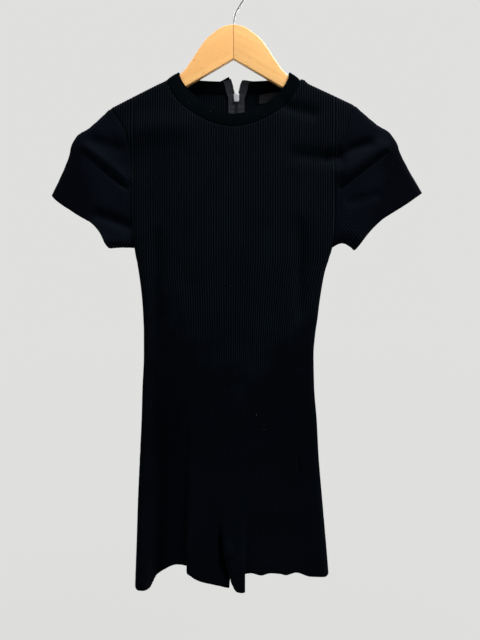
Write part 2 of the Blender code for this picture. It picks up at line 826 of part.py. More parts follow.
def build_slider(metal, collection):
    """The slider: a plate on each side of the chain, the block that parts it, and the pull's bridge."""
    middle = tape_y(SLIDER_TOP_Z - SLIDER_TALL / 2)
    bottom = SLIDER_TOP_Z - SLIDER_TALL
    tall = (bottom, SLIDER_TOP_Z)
    near, far = PLATE_GAP / 2, PLATE_GAP / 2 + PLATE_THICK
    slider = slider_box("zip_slider", SLIDER_WIDE, (middle - near, middle - far), tall, metal, collection)
    outer_span = (middle + near, middle + far)
    union(slider, slider_box("slider outer plate", SLIDER_WIDE, outer_span, tall, metal, collection))
    block_wide, block_tall = NECK_BLOCK
    block_top = SLIDER_TOP_Z - SLIDER_SUNK
    block_y = (middle - near - SLIDER_SUNK, middle + near + SLIDER_SUNK)
    block_z = (block_top - block_tall, block_top)
    union(slider, slider_box("slider block", block_wide, block_y, block_z, metal, collection))
    axis_z = bottom + SLIDER_TALL * PULL_AXIS_UP
    arch = []
    for k in range(BRIDGE_STEPS + 1):
        turn = math.pi * k / BRIDGE_STEPS
        y = middle + far - SLIDER_SUNK + BRIDGE_REACH * math.sin(turn)
        arch.append((ZIP_X, y, axis_z + BRIDGE_HALF * math.cos(turn)))
    union(slider, tube("slider bridge", arch, BRIDGE_WIRE, metal, collection))
    build_pull(metal, Vector((ZIP_X, middle + far + PULL_AXIS_OUT, axis_z)), collection)


def build_pull(metal, axis, collection):
    """The pull tab, hanging from the bridge by the bar above its eye. Its origin is on the hinge's axis."""
    half = PULL_WIDE / 2
    mesh = bmesh.new()
    box_mesh(mesh, (-half, -PULL_THICK / 2, -PULL_LONG), (half, PULL_THICK / 2, PULL_BAR))
    pull = object_from(mesh, "zip_pull", metal, collection)
    pull.location = axis
    wide, tall = PULL_EYE
    mesh = bmesh.new()
    box_mesh(mesh, (-wide / 2, -PULL_THICK, -tall - PULL_BAR), (wide / 2, PULL_THICK, -PULL_BAR))
    eye = object_from(mesh, "pull eye", metal, collection)
    eye.location = axis
    as_tool(eye)
    cut = pull.modifiers.new("eye", "BOOLEAN")
    cut.operation = "DIFFERENCE"
    cut.solver = "EXACT"
    cut.object = eye


def build_label(collection):
    """The bare neck label, a thin plate that follows the inside of the back."""
    cloth = new_material("dark neck label", (0.035, 0.035, 0.038), 0.6)
    rows = []
    for k in range(LABEL_STEPS + 1):
        x = LABEL_X[0] + (LABEL_X[1] - LABEL_X[0]) * k / LABEL_STEPS
        row = []
        for z, wall in zip((*LABEL_Z, *LABEL_Z[::-1]), (0.0, 0.0, LABEL_WALL, LABEL_WALL)):
            row.append(Vector((x, back_y(x, z) - PANEL_WALL - LABEL_GAP - wall, z)))
        rows.append(row)
    strip_object("neck_label", rows, cloth, collection)


def wood_half(side, material, collection):
    """Half of the flat hanger: its outline, cut from a board, with softened edges."""
    mirror = -SIDES[side]
    curve = bpy.data.curves.new(f"hanger_{side}", "CURVE")
    curve.dimensions = "2D"
    curve.fill_mode = "BOTH"
    curve.extrude = WOOD_THICK / 2
    curve.resolution_u = 3
    spline = curve.splines.new("BEZIER")
    spline.use_cyclic_u = True
    spline.bezier_points.add(len(WOOD_OUTLINE) - 1)
    for slot, (x, z, is_smooth) in zip(spline.bezier_points, WOOD_OUTLINE):
        slot.co = (mirror * (x - HALVES_GAP / 2 if x == 0.0 else x), z, 0.0)
        slot.handle_left_type = slot.handle_right_type = "AUTO" if is_smooth else "VECTOR"
    board = bpy.data.objects.new(f"hanger_{side} outline", curve)
    collection.objects.link(board)
    bpy.context.view_layer.update()
    data = bpy.data.meshes.new_from_object(board.evaluated_get(bpy.context.evaluated_depsgraph_get()))
    bpy.data.objects.remove(board)
    mesh = bmesh.new()
    mesh.from_mesh(data)
    bmesh.ops.remove_doubles(mesh, verts=mesh.verts, dist=0.00001)
    bmesh.ops.recalc_face_normals(mesh, faces=mesh.faces)
    mesh.to_mesh(data)
    mesh.free()
    data.name = f"hanger_{side}"
    data.materials.clear()
    half = add_object(f"hanger_{side}", data, material, collection)
    half.rotation_euler = (math.radians(90.0), 0.0, 0.0)
    soften = half.modifiers.new("softened edges", "BEVEL")
    soften.width = WOOD_BEVEL
    soften.segments = 2
    soften.limit_method = "ANGLE"
    soften.angle_limit = math.radians(50.0)
    return half


def build_hanger(collection):
    """Two wooden halves with a hole for the stem, and the wire hook."""
    wood = new_material("honey maple", (0.80, 0.48, 0.22), 0.45)
    steel = new_material("bright steel wire", (0.70, 0.69, 0.67), 0.25, 1.0)
    top = (0.0, 0.0, HANGER_TOP_Z)
    bpy.ops.mesh.primitive_cylinder_add(vertices=16, radius=STEM_HOLE, depth=2 * STEM_DEPTH, location=top)
    drill = bpy.context.object
    drill.name = "stem drill"
    as_tool(drill)
    for side in SIDES:
        half = wood_half(side, wood, collection)
        hole = half.modifiers.new("stem hole", "BOOLEAN")
        hole.operation = "DIFFERENCE"
        hole.solver = "EXACT"
        hole.object = drill
    tube("hanger_hook", hook_route(), WIRE_RADIUS, steel, collection)


def hook_route():
    """The wire's centre line: up from the wood, out to the right, and round to the left over the rail."""
    centre = Vector((0.0, 0.0, WIRE_RADIUS - BEND_RADIUS))
    start = centre + BEND_RADIUS * Vector((math.cos(HOOK_START), 0.0, math.sin(HOOK_START)))
    down = Vector((math.sin(HOOK_START), 0.0, -math.cos(HOOK_START)))
    knee = start + down * (start.x / abs(down.x))
    foot = Vector((0.0, 0.0, HANGER_TOP_Z - STEM_DEPTH + STEM_CLEAR))
    below = knee - Vector((0.0, 0.0, KNEE_ROUND))
    beyond = knee - down * KNEE_ROUND
    route = [foot, Vector((0.0, 0.0, HANGER_TOP_Z))]
    for k in range(KNEE_STEPS + 1):
        t = k / KNEE_STEPS
        route.append(below * (1 - t) ** 2 + knee * 2 * t * (1 - t) + beyond * t * t)
    for k in range(BEND_STEPS + 1):
        angle = HOOK_START + (HOOK_END - HOOK_START) * k / BEND_STEPS
        route.append(centre + BEND_RADIUS * Vector((math.cos(angle), 0.0, math.sin(angle))))
    return route


def main():
    """Builds the romper, its zip and label, and the hanger that holds it."""
    for obj in list(bpy.data.objects):
        bpy.data.objects.remove(obj)
    parts = bpy.data.collections.new("romper on hanger")
    tools = bpy.data.collections.new("tools")
    bpy.context.scene.collection.children.link(parts)
    bpy.context.scene.collection.children.link(tools)
    build_garment(parts)
    build_zip(parts)
    build_label(parts)
    build_hanger(parts)


main()
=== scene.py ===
"""Black rib-knit romper on a maple hanger: cloth, zip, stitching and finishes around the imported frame.

Metres, +Z up, -Y towards the viewer, left and right as seen from the front. The cloth repeats the
frame's own form at the pitch of its ribs, with the folds that the hung garment falls into.
"""

from __future__ import annotations

import logging
import math
from dataclasses import dataclass, field, replace
from enum import Enum
from typing import Any, Callable, NamedTuple, Sequence

import bmesh
import bpy
import numpy as np
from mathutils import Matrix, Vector


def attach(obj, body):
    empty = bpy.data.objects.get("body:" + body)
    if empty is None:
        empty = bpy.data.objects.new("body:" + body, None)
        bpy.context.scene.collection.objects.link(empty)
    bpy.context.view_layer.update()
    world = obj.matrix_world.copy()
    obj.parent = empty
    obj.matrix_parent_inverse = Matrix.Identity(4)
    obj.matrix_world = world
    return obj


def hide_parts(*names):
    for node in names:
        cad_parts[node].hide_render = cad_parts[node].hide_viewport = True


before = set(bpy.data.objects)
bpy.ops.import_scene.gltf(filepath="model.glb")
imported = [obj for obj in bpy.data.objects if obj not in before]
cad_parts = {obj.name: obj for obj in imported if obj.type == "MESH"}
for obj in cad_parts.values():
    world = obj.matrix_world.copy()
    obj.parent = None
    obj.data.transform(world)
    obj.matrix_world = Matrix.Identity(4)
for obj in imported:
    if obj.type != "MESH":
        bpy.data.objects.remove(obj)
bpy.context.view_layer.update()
log = logging.getLogger("romper")

Array = np.ndarray
Pair = tuple[float, float]
Triple = tuple[float, float, float]
Colour = Triple
Mesh = bpy.types.Mesh
Thing = bpy.types.Object
Socket = bpy.types.NodeSocket
OUT_Y = np.array([0.0, 1.0, 0.0])


class Way(Enum):
    """A choice of two, whose value is a direction."""

    @property
    def label(self) -> str:
        """Its name in tables and nodes."""
        return self.name.lower()


class Layer(Way):
    """The two layers of a garment that hangs flat. The value is the way its outside faces along Y."""

    FRONT = -1.0
    BACK = 1.0


class Side(Way):
    """The two sides, as seen from the front. The value is the way it lies along X."""

    LEFT = -1.0
    RIGHT = 1.0


class Outline(NamedTuple):
    """The garment's two edges at one height."""

    z: float
    left: float
    right: float


class Depth(NamedTuple):
    """How far the two layers stand out at the middle and at the sides, at one height."""

    z: float
    front: float
    back: float
    edge: float


class Pleat(NamedTuple):
    """A fold's edge that runs down to the hem: the layer steps out by step to the right of it."""

    start_x: float
    hem_x: float
    start_z: float
    step: float
    half_width: float
    overhang: float


class Place(NamedTuple):
    """A point of the garment's own flat outline."""

    x: float
    z: float


class Crease(NamedTuple):
    """A soft ridge (out above 0) or trough (out below 0) between two places of a layer."""

    start_x: float
    start_z: float
    end_x: float
    end_z: float
    out: float
    half_width: float
    taper: float


class SleeveCut(NamedTuple):
    """A sleeve's hem corners, how far its top is lifted, and how its underarm edge and its hem arch."""

    outer: Place
    inner: Place
    lift: float
    arch: float
    hem_arch: float
    hem_skew: float


def table(kind: type, *rows: tuple) -> tuple:
    """The rows of a table under the names of its columns."""
    return tuple(kind(*row) for row in rows)


def per_side(left: object, right: object) -> Any:
    """A dataclass field with a value for each side."""
    return field(default_factory=lambda: {Side.LEFT: left, Side.RIGHT: right})


def per_layer(front: float, back: float) -> Any:
    """A dataclass field with a value for each layer."""
    return field(default_factory=lambda: {Layer.FRONT: front, Layer.BACK: back})


def smooth_step(value: Array) -> Array:
    """Rises from 0 to 1 as value goes from 0 to 1, flat at both ends."""
    t = np.clip(value, 0.0, 1.0)
    return t * t * (3.0 - 2.0 * t)


def cap(distance: Array, radius: Array) -> Array:
    """A quarter round: 0 at an edge, 1 once radius away from it."""
    t = np.clip(distance / radius, 0.0, 1.0)
    return np.sqrt(1.0 - (1.0 - t) ** 2)


def bell(value: Array) -> Array:
    """1 at value 0, falling smoothly to nearly 0 by 2."""
    return np.exp(-(value**2))


def unit(vectors: Array) -> Array:
    """The same vectors at length 1."""
    return vectors / np.maximum(np.linalg.norm(vectors, axis=-1, keepdims=True), 1e-12)


class Curve:
    """A smooth curve through a short table's rows that never overshoots them."""

    def __init__(self, keys: Sequence[float], values: Sequence[float]) -> None:
        """Orders the rows and finds the slope at each.

        Args:
            keys: Where each row stands, rising or falling.
            values: What the curve reads there.
        """
        order = np.argsort(keys)
        self.keys = np.asarray(keys, float)[order]
        self.values = np.asarray(values, float)[order]
        slopes = np.diff(self.values) / np.diff(self.keys)
        both = slopes[:-1] * slopes[1:]
        total = np.where(both > 0.0, slopes[:-1] + slopes[1:], 1.0)
        inner = np.where(both > 0.0, 2.0 * both / total, 0.0)
        self.tangents = np.concatenate([slopes[:1], inner, slopes[-1:]])

    def __call__(self, where: Array) -> Array:
        """Reads the curve.

        Args:
            where: Places along the keys; beyond the ends the end rows hold.

        Returns:
            The curve's values there.
        """
        at = np.clip(where, self.keys[0], self.keys[-1])
        i = np.clip(np.searchsorted(self.keys, at, side="right") - 1, 0, len(self.keys) - 2)
        span = self.keys[i + 1] - self.keys[i]
        t = (at - self.keys[i]) / span
        start = (1 + 2 * t) * (1 - t) ** 2 * self.values[i] + t * (1 - t) ** 2 * span * self.tangents[i]
        end = t * t * (3 - 2 * t) * self.values[i + 1] - t * t * (1 - t) * span * self.tangents[i + 1]
        return start + end


def table_curve(rows: Sequence[NamedTuple], name: str, key: str = "z") -> Curve:
    """A curve through one named column of a table."""
    return Curve([getattr(row, key) for row in rows], [getattr(row, name) for row in rows])


ARMHOLE = table(
    Outline,
    (-0.1945, -0.1950, 0.1865), (-0.2000, -0.1905, 0.1850), (-0.2185, -0.1770, 0.1780),
    (-0.2400, -0.1650, 0.1720), (-0.2710, -0.1578, 0.1597), (-0.3000, -0.1563, 0.1566),
    (-0.3600, -0.1580, 0.1566), (-0.4150, -0.1535, 0.1528),
)
BODY = table(
    Outline,
    (-0.415, -0.1535, 0.1528), (-0.433, -0.1500, 0.1470), (-0.452, -0.1465, 0.1410),
    (-0.496, -0.1412, 0.1333), (-0.526, -0.1394, 0.1296), (-0.545, -0.1388, 0.1267),
    (-0.580, -0.1388, 0.1238), (-0.630, -0.1408, 0.1248), (-0.681, -0.1422, 0.1288),
    (-0.737, -0.1448, 0.1318), (-0.802, -0.1472, 0.1369), (-0.867, -0.1486, 0.1424),
    (-0.930, -0.1505, 0.1474),
)
DEPTHS = table(
    Depth,
    (-0.150, 0.0155, 0.0110, 0.0100), (-0.233, 0.0190, 0.0120, 0.0100),
    (-0.415, 0.0170, 0.0125, 0.0095), (-0.580, 0.0150, 0.0120, 0.0090),
    (-0.700, 0.0165, 0.0130, 0.0095), (-0.800, 0.0160, 0.0150, 0.0105),
    (-0.930, 0.0140, 0.0165, 0.0115),
)
PLEATS = {
    Layer.FRONT: table(
        Pleat,
        (-0.300, -0.300, -0.730, 0.0170, 0.006, 0.000), (-0.131, -0.126, -0.480, -0.0270, 0.011, 0.001),
        (-0.096, -0.096, -0.470, 0.0250, 0.028, 0.000), (-0.068, -0.067, -0.620, 0.0160, 0.006, 0.004),
        (-0.021, -0.006, -0.825, 0.0080, 0.006, 0.002), (0.0700, 0.0600, -0.600, -0.0200, 0.055, 0.000),
        (0.0170, 0.0165, -0.800, -0.0120, 0.006, 0.003),
    ),
    Layer.BACK: table(
        Pleat,
        (-0.105, -0.100, -0.700, 0.0120, 0.012, 0.000), (-0.052, -0.060, -0.670, -0.0130, 0.010, 0.000),
        (0.0380, 0.0450, -0.680, 0.0140, 0.011, 0.000), (0.0950, 0.1020, -0.720, -0.0130, 0.012, 0.000),
    ),
}
HEMS = {
    Layer.FRONT: table(
        Place,
        (-0.1600, -0.9300), (-0.1400, -0.9300), (-0.1273, -0.9315), (-0.1227, -0.9270), (-0.1180, -0.9187),
        (-0.1134, -0.9137), (-0.1040, -0.9060), (-0.0949, -0.8988), (-0.0857, -0.8940), (-0.0765, -0.8925),
        (-0.0670, -0.8945), (-0.0637, -0.8978), (-0.0593, -0.9027), (-0.0549, -0.9052), (-0.0461, -0.9087),
        (-0.0284, -0.9126), (-0.0120, -0.9165), (-0.0055, -0.9205), (0.0050, -0.9195), (0.0140, -0.9210),
        (0.0204, -0.8990), (0.0250, -0.8987), (0.0433, -0.9038), (0.0525, -0.9024), (0.0708, -0.9057),
        (0.0799, -0.9087), (0.0936, -0.9065), (0.1164, -0.9138), (0.1400, -0.9148), (0.1600, -0.9148),
    ),
    Layer.BACK: table(
        Place,
        (-0.1600, -0.9300), (-0.1400, -0.9300), (-0.1280, -0.9250), (-0.1180, -0.9115), (-0.1040, -0.9030),
        (-0.0700, -0.9020), (-0.0340, -0.9130), (0.0050, -0.9155), (0.0400, -0.9110), (0.1100, -0.9130),
        (0.1400, -0.9150), (0.1600, -0.9150),
    ),
}
CENTRE_LINE = table(
    Place,
    (0.0000, -0.6000), (-0.0090, -0.7200), (-0.0205, -0.8380), (-0.0185, -0.8640), (-0.0030, -0.9150),
)
ZIP_OPENING = table(
    Place,
    (0.0158, -0.152), (0.0060, -0.172), (0.0055, -0.190), (0.0055, -0.593), (0.0002, -0.6070),
    (0.0000, -0.655),
)
COIL_OPENING = table(
    Place,
    (0.0110, -0.1490), (0.0069, -0.1570), (0.0051, -0.1650), (0.0032, -0.1715), (0.0003, -0.1800),
    (0.0003, -0.6100),
)
SLEEVE_CUTS = {
    Side.LEFT: SleeveCut(Place(-0.2795, -0.334), Place(-0.1925, -0.415), 1.0, 0.001, 0.0125, 2.3),
    Side.RIGHT: SleeveCut(Place(0.2900, -0.330), Place(0.187, -0.418), 0.91, 0.009, 0.0095, 1.6),
}
SLEEVE_LIFT = Curve(
    (0.0, 0.14, 0.27, 0.40, 0.48, 0.60, 0.79, 1.0),
    (0.0, 0.0050, 0.0105, 0.0190, 0.0185, 0.0115, 0.0050, 0.0),
)
CREASES = {
    Layer.FRONT: table(
        Crease,
        (0.0880, -0.2735, 0.1600, -0.2800, -0.0048, 0.0105, 0.65),
        (0.1385, -0.2790, 0.2097, -0.2540, -0.0054, 0.0085, 0.30),
        (0.1612, -0.3070, 0.2345, -0.2590, 0.0058, 0.0125, 0.25),
        (0.1612, -0.3260, 0.2339, -0.2700, -0.0046, 0.0030, 0.25),
        (0.0734, -0.2000, 0.1279, -0.2120, -0.0046, 0.0088, 0.40),
        (0.1756, -0.3479, 0.2237, -0.3340, -0.0022, 0.0090, 0.40),
        (-0.1719, -0.2390, -0.0620, -0.2300, 0.0050, 0.0200, 0.60),
        (-0.2196, -0.2502, -0.1654, -0.2672, -0.0035, 0.0095, 0.35),
        (-0.2289, -0.2585, -0.1592, -0.3120, 0.0045, 0.0075, 0.25),
        (-0.2274, -0.2700, -0.1933, -0.2990, -0.0024, 0.0034, 0.35),
        (-0.2007, -0.2930, -0.1613, -0.3263, -0.0046, 0.0033, 0.30),
        (-0.2143, -0.3641, -0.1553, -0.3838, -0.0062, 0.0095, 0.30),
        (-0.1990, -0.4180, -0.1600, -0.4160, 0.0100, 0.0130, 0.35),
        (-0.0100, -0.8520, -0.0065, -0.8700, 0.0085, 0.0062, 0.45),
        (0.1016, -0.3800, 0.1006, -0.5200, -0.0060, 0.0110, 0.50),
        (-0.1174, -0.3950, -0.1190, -0.5750, -0.0050, 0.0095, 0.40),
        (0.0989, -0.7354, 0.1004, -0.7618, -0.0022, 0.0028, 0.40),
    ),
    Layer.BACK: table(
        Crease,
        (0.1105, -0.2549, 0.2066, -0.2580, -0.0035, 0.0110, 0.35),
        (0.1524, -0.2999, 0.2345, -0.2611, 0.0045, 0.0100, 0.30),
        (-0.2274, -0.2704, -0.1499, -0.3185, 0.0045, 0.0100, 0.30),
        (-0.2196, -0.2999, -0.1576, -0.3402, -0.0040, 0.0085, 0.30),
    ),
}


@dataclass
class GarmentForm:
    """The hung garment's outer face, worked out from its tables."""

    neck_x: float = 0.102
    neck_z: float = -0.1562
    ridge_slope: float = 0.60
    shoulder: dict[Side, Place] = per_side(Place(-0.1905, -0.2000), Place(0.1865, -0.1945))
    neck_drop: dict[Layer, float] = per_layer(0.0763, 0.0153)
    neck_power: dict[Layer, float] = per_layer(1.7, 2.2)
    knoll: dict[Side, float] = per_side(-0.0004, 0.0030)
    knoll_out: float = 0.0055
    knoll_wide: float = 0.0050
    arm_depth: float = 0.0100
    arm_round: float = 0.0100
    underarm_z: float = -0.415
    armpit_round: float = 0.030
    side_round: float = 0.010
    fork_top_z: float = -0.815
    crotch_z: float = -0.852
    fork_round: float = 0.010
    leg_gap: float = 0.0002
    leg_parting: float = 0.020
    hem_z: float = -0.915
    zip_x: float = 0.0045
    zip_closing: float = 0.055
    rib_lean: float = -0.008
    lean_top_z: float = -0.55
    lean_over: float = 0.35
    zip_ribs_z: float = -0.80
    zip_ribs_over: float = 0.30

    def __post_init__(self) -> None:
        """Makes the curves that read the tables."""
        self.armhole = {side: table_curve(ARMHOLE, side.label) for side in Side}
        self.body = {side: table_curve(BODY, side.label) for side in Side}
        self.depths = {name: table_curve(DEPTHS, name) for name in ("front", "back", "edge")}
        self.hems = {layer: table_curve(HEMS[layer], "z", "x") for layer in Layer}
        self.centre_line = table_curve(CENTRE_LINE, "x")
        self.zip_opening = table_curve(ZIP_OPENING, "x")
        self.coil_opening = table_curve(COIL_OPENING, "x")

    def ridge_z(self, x: Array) -> Array:
        """The height of the cloth's ridge over the hanger's arm.

        Args:
            x: Places across.

        Returns:
            The height at each place.
        """
        left, right = self.shoulder[Side.LEFT], self.shoulder[Side.RIGHT]
        far, low = np.where(x < 0, -left.x, right.x), np.where(x < 0, left.z, right.z)
        reach = np.abs(x)
        arm = self.neck_z + (low - self.neck_z) * (reach - self.neck_x) / (far - self.neck_x)
        rise = np.where(x < 0, self.knoll[Side.LEFT], self.knoll[Side.RIGHT])
        arm = arm + rise * bell((reach - self.neck_x - self.knoll_out) / self.knoll_wide)
        return np.where(reach < self.neck_x, self.neck_z + self.ridge_slope * (self.neck_x - reach), arm)

    def side_x(self, side: Side, z: Array) -> Array:
        """The armhole seam above the underarm, the side seam below it."""
        return np.where(z > self.underarm_z, self.armhole[side](z), self.body[side](z))

    def centre_x(self, layer: Layer, side: Side, z: Array) -> Array:
        """A panel's inner edge: the centre line, the zip's opening or the inseam.

        Args:
            layer: Front or back.
            side: Left or right.
            z: Heights.

        Returns:
            Where it lies across.
        """
        line = self.centre_line(z)
        if layer is Layer.BACK:
            bottom = ZIP_OPENING[-1].z
            opened = np.where(z > bottom, 1.0, 0.0)
            line = line + (self.zip_x - line) * smooth_step((z - bottom) / self.zip_closing)
            line = line + opened * side.value * self.zip_opening(z)
        return line + side.value * self.leg_gap * smooth_step((self.crotch_z - z) / self.leg_parting)

    def rib_line(self, layer: Layer, side: Side, z: Array) -> Array:
        """The upright line that a panel's ribs are counted from.

        Args:
            layer: Front or back.
            side: Left or right.
            z: Heights.

        Returns:
            Where it lies across.
        """
        line = self.rib_lean * smooth_step((self.lean_top_z - z) / self.lean_over)
        if layer is Layer.FRONT:
            return line
        beside_zip = self.zip_x * smooth_step((z - self.zip_ribs_z) / self.zip_ribs_over)
        return line + beside_zip + side.value * ZIP_OPENING[2].x

    def depth(self, layer: Layer, x: Array, z: Array) -> Array:
        """How far a layer stands out, with its pleats, before its edges close.

        Args:
            layer: Front or back.
            x: Places across.
            z: Heights.

        Returns:
            The depth at each place.
        """
        left, right = self.side_x(Side.LEFT, z), self.side_x(Side.RIGHT, z)
        across = (2 * x - left - right) / (right - left)
        edge = self.depths["edge"](z)
        out = edge + (self.depths[layer.label](z) - edge) * np.maximum(0.0, 1.0 - across**2)
        for pleat, ramp, t in self.pleats(layer, x, z):
            out = out + pleat.step * ramp * smooth_step(0.5 + t / 2)
        return out + self.creased(layer, x, z)

    def pleats(self, layer: Layer, x: Array, z: Array) -> list[tuple[Pleat, Array, Array]]:
        """Each pleat with how far it has opened and how far a place is past its edge.

        Args:
            layer: Front or back.
            x: Places across.
            z: Heights.

        Returns:
            A pleat and its two measures, for each.
        """
        found = []
        for pleat in PLEATS[layer]:
            ramp = smooth_step((pleat.start_z - z) / (pleat.start_z - self.hem_z))
            line = pleat.start_x + (pleat.hem_x - pleat.start_x) * ramp
            found.append((pleat, ramp, (x - line) / pleat.half_width))
        return found

    def tucked(self, layer: Layer, x: Array, z: Array) -> Array:
        """x, moved so that a pleat's edge hangs over the cloth behind it.

        Args:
            layer: Front or back.
            x: Places across.
            z: Heights.

        Returns:
            The moved places.
        """
        shift = np.zeros_like(x)
        for pleat, ramp, t in self.pleats(layer, x, z):
            shift = shift - pleat.overhang * ramp * np.sin(np.pi * np.clip(t, -1.0, 1.0))
        return x + shift

    def creased(self, layer: Layer, x: Array, z: Array) -> Array:
        """The listed ridges and troughs at a place of a layer.

        Args:
            layer: Front or back.
            x: Places across.
            z: Heights.

        Returns:
            How far each place moves out.
        """
        total = np.zeros(np.broadcast(x, z).shape)
        for crease in CREASES[layer]:
            along_x, along_z = crease.end_x - crease.start_x, crease.end_z - crease.start_z
            length = math.hypot(along_x, along_z)
            run = ((x - crease.start_x) * along_x + (z - crease.start_z) * along_z) / length**2
            off = ((x - crease.start_x) * along_z - (z - crease.start_z) * along_x) / length
            beyond = np.maximum(0.0, np.maximum(-run, run - 1.0)) * length
            ends = smooth_step(run / crease.taper + 0.5) * smooth_step((1.0 - run) / crease.taper + 0.5)
            total = total + crease.out * ends * bell(np.hypot(off, beyond) / crease.half_width)
        return total

    def point(self, layer: Layer, x: Array, z: Array, inner: Array, outer: Array,
              forks: bool = True) -> Array:
        """Points of a layer's outer face, in a row that runs from inner to outer across a panel.

        Args:
            layer: Front or back.
            x: Places across.
            z: Heights.
            inner: The panel's inner edge at each height.
            outer: Its outer edge.
            forks: Whether the layers close towards the fork of the legs.

        Returns:
            One point for each place.
        """
        out = self.depth(layer, x, z) * cap(self.ridge_z(x) - z, self.arm_round)
        closed = np.where(z <= self.underarm_z, 1.0, 1.0 - cap(z - self.underarm_z, self.armpit_round))
        out = out * (1.0 - closed + closed * cap(np.abs(outer - x), self.side_round))
        if forks:
            down = np.clip((self.fork_top_z - z) / (self.fork_top_z - self.crotch_z), 0.0, 1.0)
            forked = 1.0 - np.sqrt(1.0 - down**2)
            out = out * (1.0 - forked + forked * cap(np.abs(x - inner), self.fork_round))
        return grouped(self.tucked(layer, x, z), layer.value * out, z)

    def neck_line_z(self, layer: Layer, x: Array) -> Array:
        """The height of a panel's top edge: the neck seam, then the shoulder seam.

        Args:
            layer: Front or back.
            x: Places across.

        Returns:
            The height at each place.
        """
        power = self.neck_power[layer]
        share = np.clip(np.abs(x) / self.neck_x, 0.0, 1.0)
        neck = self.neck_z - self.neck_drop[layer] * (1.0 - share**power) ** (1.0 / power)
        return np.where(np.abs(x) < self.neck_x, neck, self.ridge_z(x))

    def back_y(self, x: Array, z: Array) -> Array:
        """How far out the back's outer face is near the zip."""
        at_x, at_z = np.asarray(x, float), np.asarray(z, float)
        return self.point(Layer.BACK, at_x, at_z, self.zip_x, self.shoulder[Side.RIGHT].x)[..., 1]


@dataclass(frozen=True)
class Knit:
    """How a cloth is knitted and how thick it is."""

    pitch: float = 0.00375
    height: float = 0.00055
    crest: float = 1.5
    wall: float = 0.0015
    samples: int = 4
    groove: float = 0.0009
    groove_width: float = 0.0013
    flat_by_seam: float = 1.6
    inside: float = 0.6
    hem_bulge: float = 0.0006
    same_place: float = 4e-6


@dataclass
class Lattice:
    """Rows and columns of points on a cloth's outer face.

    Attributes:
        points: Rows, columns and three coordinates.
        ribs: How many ribs lie between each point and the piece's first column.
        run: Distance along the ribs.
        seam: Distance from the nearest sewn edge.
        flip: Whether rows down and columns across turn the faces inward.
        joined: Whether the last column meets the first.
    """

    points: Array
    ribs: Array
    run: Array
    seam: Array
    flip: bool
    joined: bool = False

    def corners(self) -> Array:
        """The flat indices of each face's corners.

        Returns:
            Four indices a face.
        """
        index = np.arange(self.ribs.size).reshape(self.ribs.shape)
        beside = np.roll(index, -1, axis=1) if self.joined else index[:, 1:]
        near = index if self.joined else index[:, :-1]
        quads = grouped(near[:-1], near[1:], beside[1:], beside[:-1]).reshape(-1, 4)
        return quads[:, ::-1] if self.flip else quads

    def keys(self) -> Array:
        """Whole numbers that are equal for points at the same place."""
        return np.round(self.points.reshape(-1, 3) / Knit.same_place).astype(np.int64)


def shared_normals(lattices: Sequence[Lattice]) -> list[Array]:
    """The outward direction at every lattice point, the same for pieces that meet there.

    Args:
        lattices: All the pieces of the garment.

    Returns:
        For each lattice its normals, rows by columns by three.
    """
    keys = np.concatenate([lattice.keys() for lattice in lattices])
    _, place = np.unique(keys, axis=0, return_inverse=True)
    place = place.reshape(-1)
    totals = np.zeros((place.max() + 1, 3))
    start = 0
    for lattice in lattices:
        flat = lattice.points.reshape(-1, 3)
        corners = lattice.corners()
        a, b, c, d = (flat[corners[:, k]] for k in range(4))
        normal = np.cross(c - a, d - b)
        for k in range(4):
            np.add.at(totals, place[start + corners[:, k]], normal)
        start += len(flat)
    normals = unit(totals)[place]
    split = np.cumsum([lattice.ribs.size for lattice in lattices])[:-1]
    shapes = [lattice.points.shape for lattice in lattices]
    return [part.reshape(shape) for part, shape in zip(np.split(normals, split), shapes)]


def faces_inward(points: Array, outward: float) -> bool:
    """Whether a lattice's faces point against the given way along Y."""
    normal = np.cross(points[1:, :-1] - points[:-1, 1:], points[1:, 1:] - points[:-1, :-1])
    return float(normal[..., 1].sum()) * outward < 0.0


def travelled(points: Array, axis: int) -> Array:
    """Distance from the first row (axis 0) or column (axis 1) of a grid of points.

    Args:
        points: Rows and columns of points.
        axis: The way to go.

    Returns:
        A distance a point.
    """
    steps = np.linalg.norm(np.diff(points, axis=axis), axis=-1)
    start = np.zeros_like(np.take(steps, [0], axis=axis))
    return np.concatenate([start, np.cumsum(steps, axis=axis)], axis=axis)


def from_end(distance: Array, axis: int) -> Array:
    """The same distances, counted from the other end."""
    return np.take(distance, [-1], axis=axis) - distance


def grouped(*parts: Array) -> Array:
    """Points, or other tuples, from their separate parts."""
    return np.stack(np.broadcast_arrays(*parts), axis=-1)


def read_path(where: Array, lengths: Array, path: Array) -> Array:
    """A path's points, or other triples along it, at the places where its lengths read as given."""
    return grouped(*(np.interp(where, lengths, path[:, k]) for k in range(3)))


def mesh_of(name: str, points: Array, faces: Sequence[Sequence[int]]) -> Mesh:
    """A smooth mesh from points and faces.

    Args:
        name: The mesh's name.
        points: Its points.
        faces: Each face's corners.

    Returns:
        The mesh.
    """
    mesh = bpy.data.meshes.new(name)
    mesh.from_pydata(np.asarray(points).tolist(), [], [list(map(int, face)) for face in faces])
    mesh.polygons.foreach_set("use_smooth", [True] * len(mesh.polygons))
    mesh.update()
    return mesh


